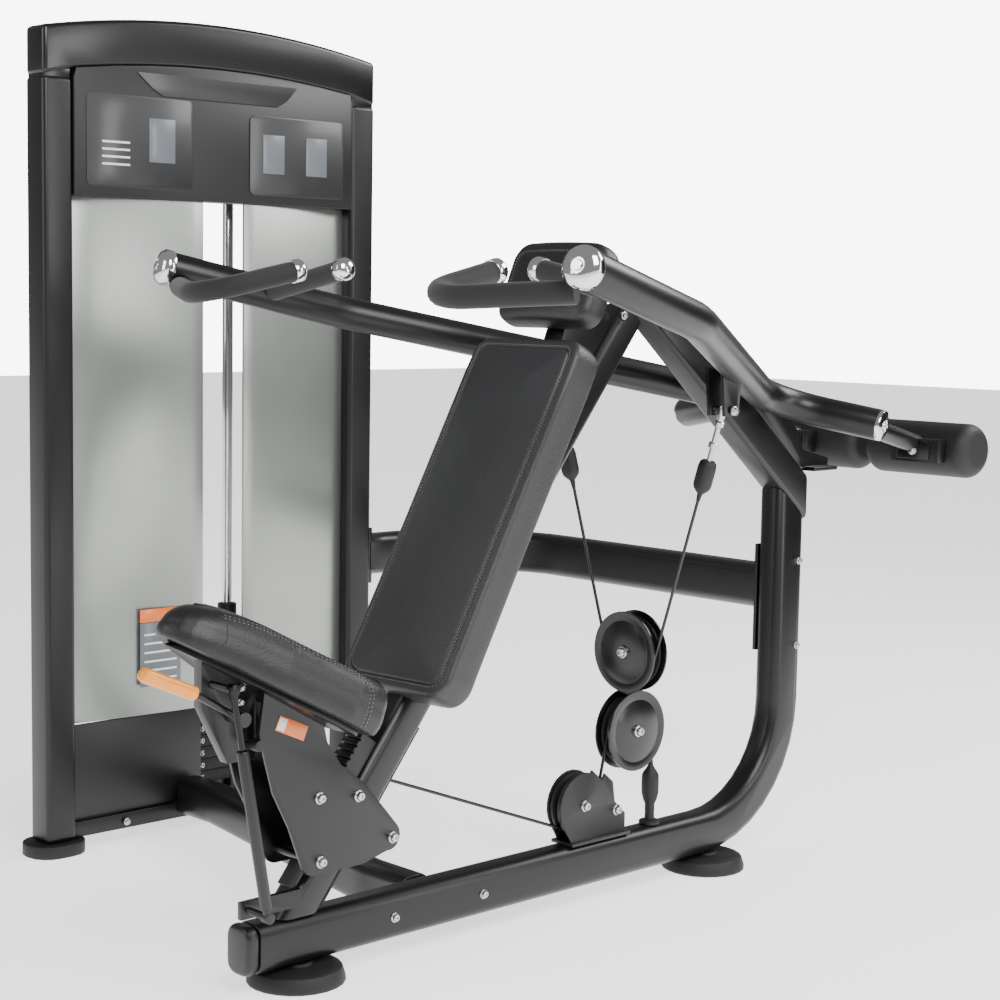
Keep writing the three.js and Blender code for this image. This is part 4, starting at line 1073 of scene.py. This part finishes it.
# ---- stage ---------------------------------------------------------------------------------------
class MACHINE_OT_stage(bpy.types.Operator):
    """Lay the pale floor, hang the soft boxes and set up the camera"""
    bl_idname = "shoulder_press.stage"
    bl_label = "Floor, lights and camera"

    def execute(self, context):
        bpy.ops.object.select_all(action="DESELECT")
        bpy.ops.mesh.primitive_plane_add(size=40, location=(0, 0, -0.0005))
        floor = bpy.context.object
        floor.name = "studio_floor"
        finish, tree, shader, place = start_finish("matt_floor_paint", "#F8F8F7", 0.7, Emission_Strength=1.3,
                                                   Emission_Color=(1, 1, 1, 1))
        floor.data.materials.append(finish)
        flag_finish, tree, shader, place = start_finish("black_studio_cloth", "#050505", 0.9)
        flag_corners = [(3.1, 3.2, 0), (-0.4, 5.6, 0), (-0.4, 5.6, 3.2), (3.1, 3.2, 3.2)]
        flag = new_mesh("studio_flag", flag_corners, [(0, 1, 2, 3)])
        flag.data.materials.append(flag_finish)
        flag.visible_camera = False
        flag.visible_shadow = False
        for name, power, size, place, aim in (
                ("key_box", 165, (2.2, 2.2), (3.2, -1.2, 3.4), (0, 0, 0.7)),
                ("front_box", 55, (1.6, 2.4), (-0.9, -4.0, 2.4), (-0.3, 0, 0.8)),
                ("rim_box", 125, (2.4, 1.4), (1.4, 3.0, 3.2), (0, 0.3, 0.8)),
                ("side_strip", 50, (0.5, 2.6), (3.8, 1.4, 1.6), (0.2, 0.3, 0.6))):
            light = bpy.data.lights.new(name, "AREA")
            light.shape = "RECTANGLE"
            light.size, light.size_y = size
            light.energy = power
            lamp = bpy.data.objects.new(name, light)
            lamp.location = place
            lamp.rotation_euler = (Vector(aim) - Vector(place)).to_track_quat("-Z", "Y").to_euler()
            context.scene.collection.objects.link(lamp)
        world = bpy.data.worlds.new("white_studio")
        world.use_nodes = True
        background = world.node_tree.nodes["Background"]
        background.inputs["Color"].default_value = (1, 1, 1, 1)
        seen = add_node(world.node_tree, "ShaderNodeLightPath").outputs["Is Camera Ray"]
        strength = add_node(world.node_tree, "ShaderNodeMapRange",
                            {"Value": seen, "To Min": 0.3, "To Max": 8.0})
        world.node_tree.links.new(strength.outputs["Result"], background.inputs["Strength"])
        context.scene.world = world

        look = context.scene.shoulder_press
        a, p, r = look.view_azimuth, look.view_pitch, look.view_roll
        ahead = Vector((-math.sin(a) * math.cos(p), math.cos(a) * math.cos(p), -math.sin(p)))
        right = ahead.cross(UP).normalized()
        over = right.cross(ahead)
        side = right * math.cos(r) + over * math.sin(r)
        top = over * math.cos(r) - right * math.sin(r)
        camera = bpy.data.objects.new("camera", bpy.data.cameras.new("camera"))
        camera.data.lens = 72.1
        camera.data.sensor_width = 36
        matrix = Matrix((side, top, -ahead)).transposed().to_4x4()
        matrix.translation = look.view_place
        camera.matrix_world = matrix
        context.scene.collection.objects.link(camera)
        context.scene.camera = camera
        return {"FINISHED"}


class PressSettings(bpy.types.PropertyGroup):
    coat: bpy.props.FloatVectorProperty(name="Frame coat", description="Colour of the powder coat",
                                        subtype="COLOR_GAMMA", default=(0.045, 0.045, 0.048))
    rubber: bpy.props.FloatVectorProperty(name="Rubber", description="Colour of feet and counterweights",
                                          subtype="COLOR_GAMMA", default=(0.045, 0.045, 0.048))
    shroud: bpy.props.FloatVectorProperty(name="Shrouds", description="Colour of the tower's metal panels",
                                          subtype="COLOR_GAMMA", default=(0.52, 0.53, 0.515))
    lever: bpy.props.FloatVectorProperty(name="Lever", description="Colour of the seat lever's grip",
                                         subtype="COLOR_GAMMA", default=(0.96, 0.44, 0.0))
    pad: bpy.props.FloatVectorProperty(name="Seat", description="Colour of the seat and headrest",
                                       subtype="COLOR_GAMMA", default=(0.05, 0.05, 0.053))
    pad_light: bpy.props.FloatVectorProperty(name="Back pad", description="Colour of the back pad",
                                             subtype="COLOR_GAMMA", default=(0.125, 0.127, 0.13))
    view_place: bpy.props.FloatVectorProperty(name="Camera place", description="Where the camera stands",
                                              subtype="TRANSLATION", default=(2.7141, -2.5213, 1.089))
    view_azimuth: bpy.props.FloatProperty(name="Camera azimuth", description="Heading of the camera",
                                          subtype="ANGLE", default=math.radians(46.37))
    view_pitch: bpy.props.FloatProperty(name="Camera pitch", description="How far the camera looks down",
                                        subtype="ANGLE", default=math.radians(5.78))
    view_roll: bpy.props.FloatProperty(name="Camera roll", description="How far the camera is turned",
                                       subtype="ANGLE", default=math.radians(0.93))


STEPS = (MACHINE_OT_frame, MACHINE_OT_tower, MACHINE_OT_fasteners, MACHINE_OT_arms,
         MACHINE_OT_cables, MACHINE_OT_pads,
         MACHINE_OT_lever, MACHINE_OT_labels, MACHINE_OT_stage)


class MACHINE_PT_panel(bpy.types.Panel):
    bl_label = "Shoulder Press"
    bl_idname = "MACHINE_PT_shoulder_press"
    bl_space_type = "VIEW_3D"
    bl_region_type = "UI"
    bl_category = "Shoulder Press"

    def draw(self, context):
        for name in PressSettings.__annotations__:
            self.layout.prop(context.scene.shoulder_press, name)
        for step in STEPS:
            self.layout.operator(step.bl_idname)


def register():
    for kind in (PressSettings, *STEPS, MACHINE_PT_panel):
        bpy.utils.register_class(kind)
    bpy.types.Scene.shoulder_press = bpy.props.PointerProperty(type=PressSettings)


def unregister():
    del bpy.types.Scene.shoulder_press
    for kind in reversed((PressSettings, *STEPS, MACHINE_PT_panel)):
        bpy.utils.unregister_class(kind)


def main():
    register()
    mix_finishes()
    for step in STEPS:
        group, name = step.bl_idname.split(".")
        getattr(getattr(bpy.ops, group), name)()


if __name__ == "__main__":
    main()
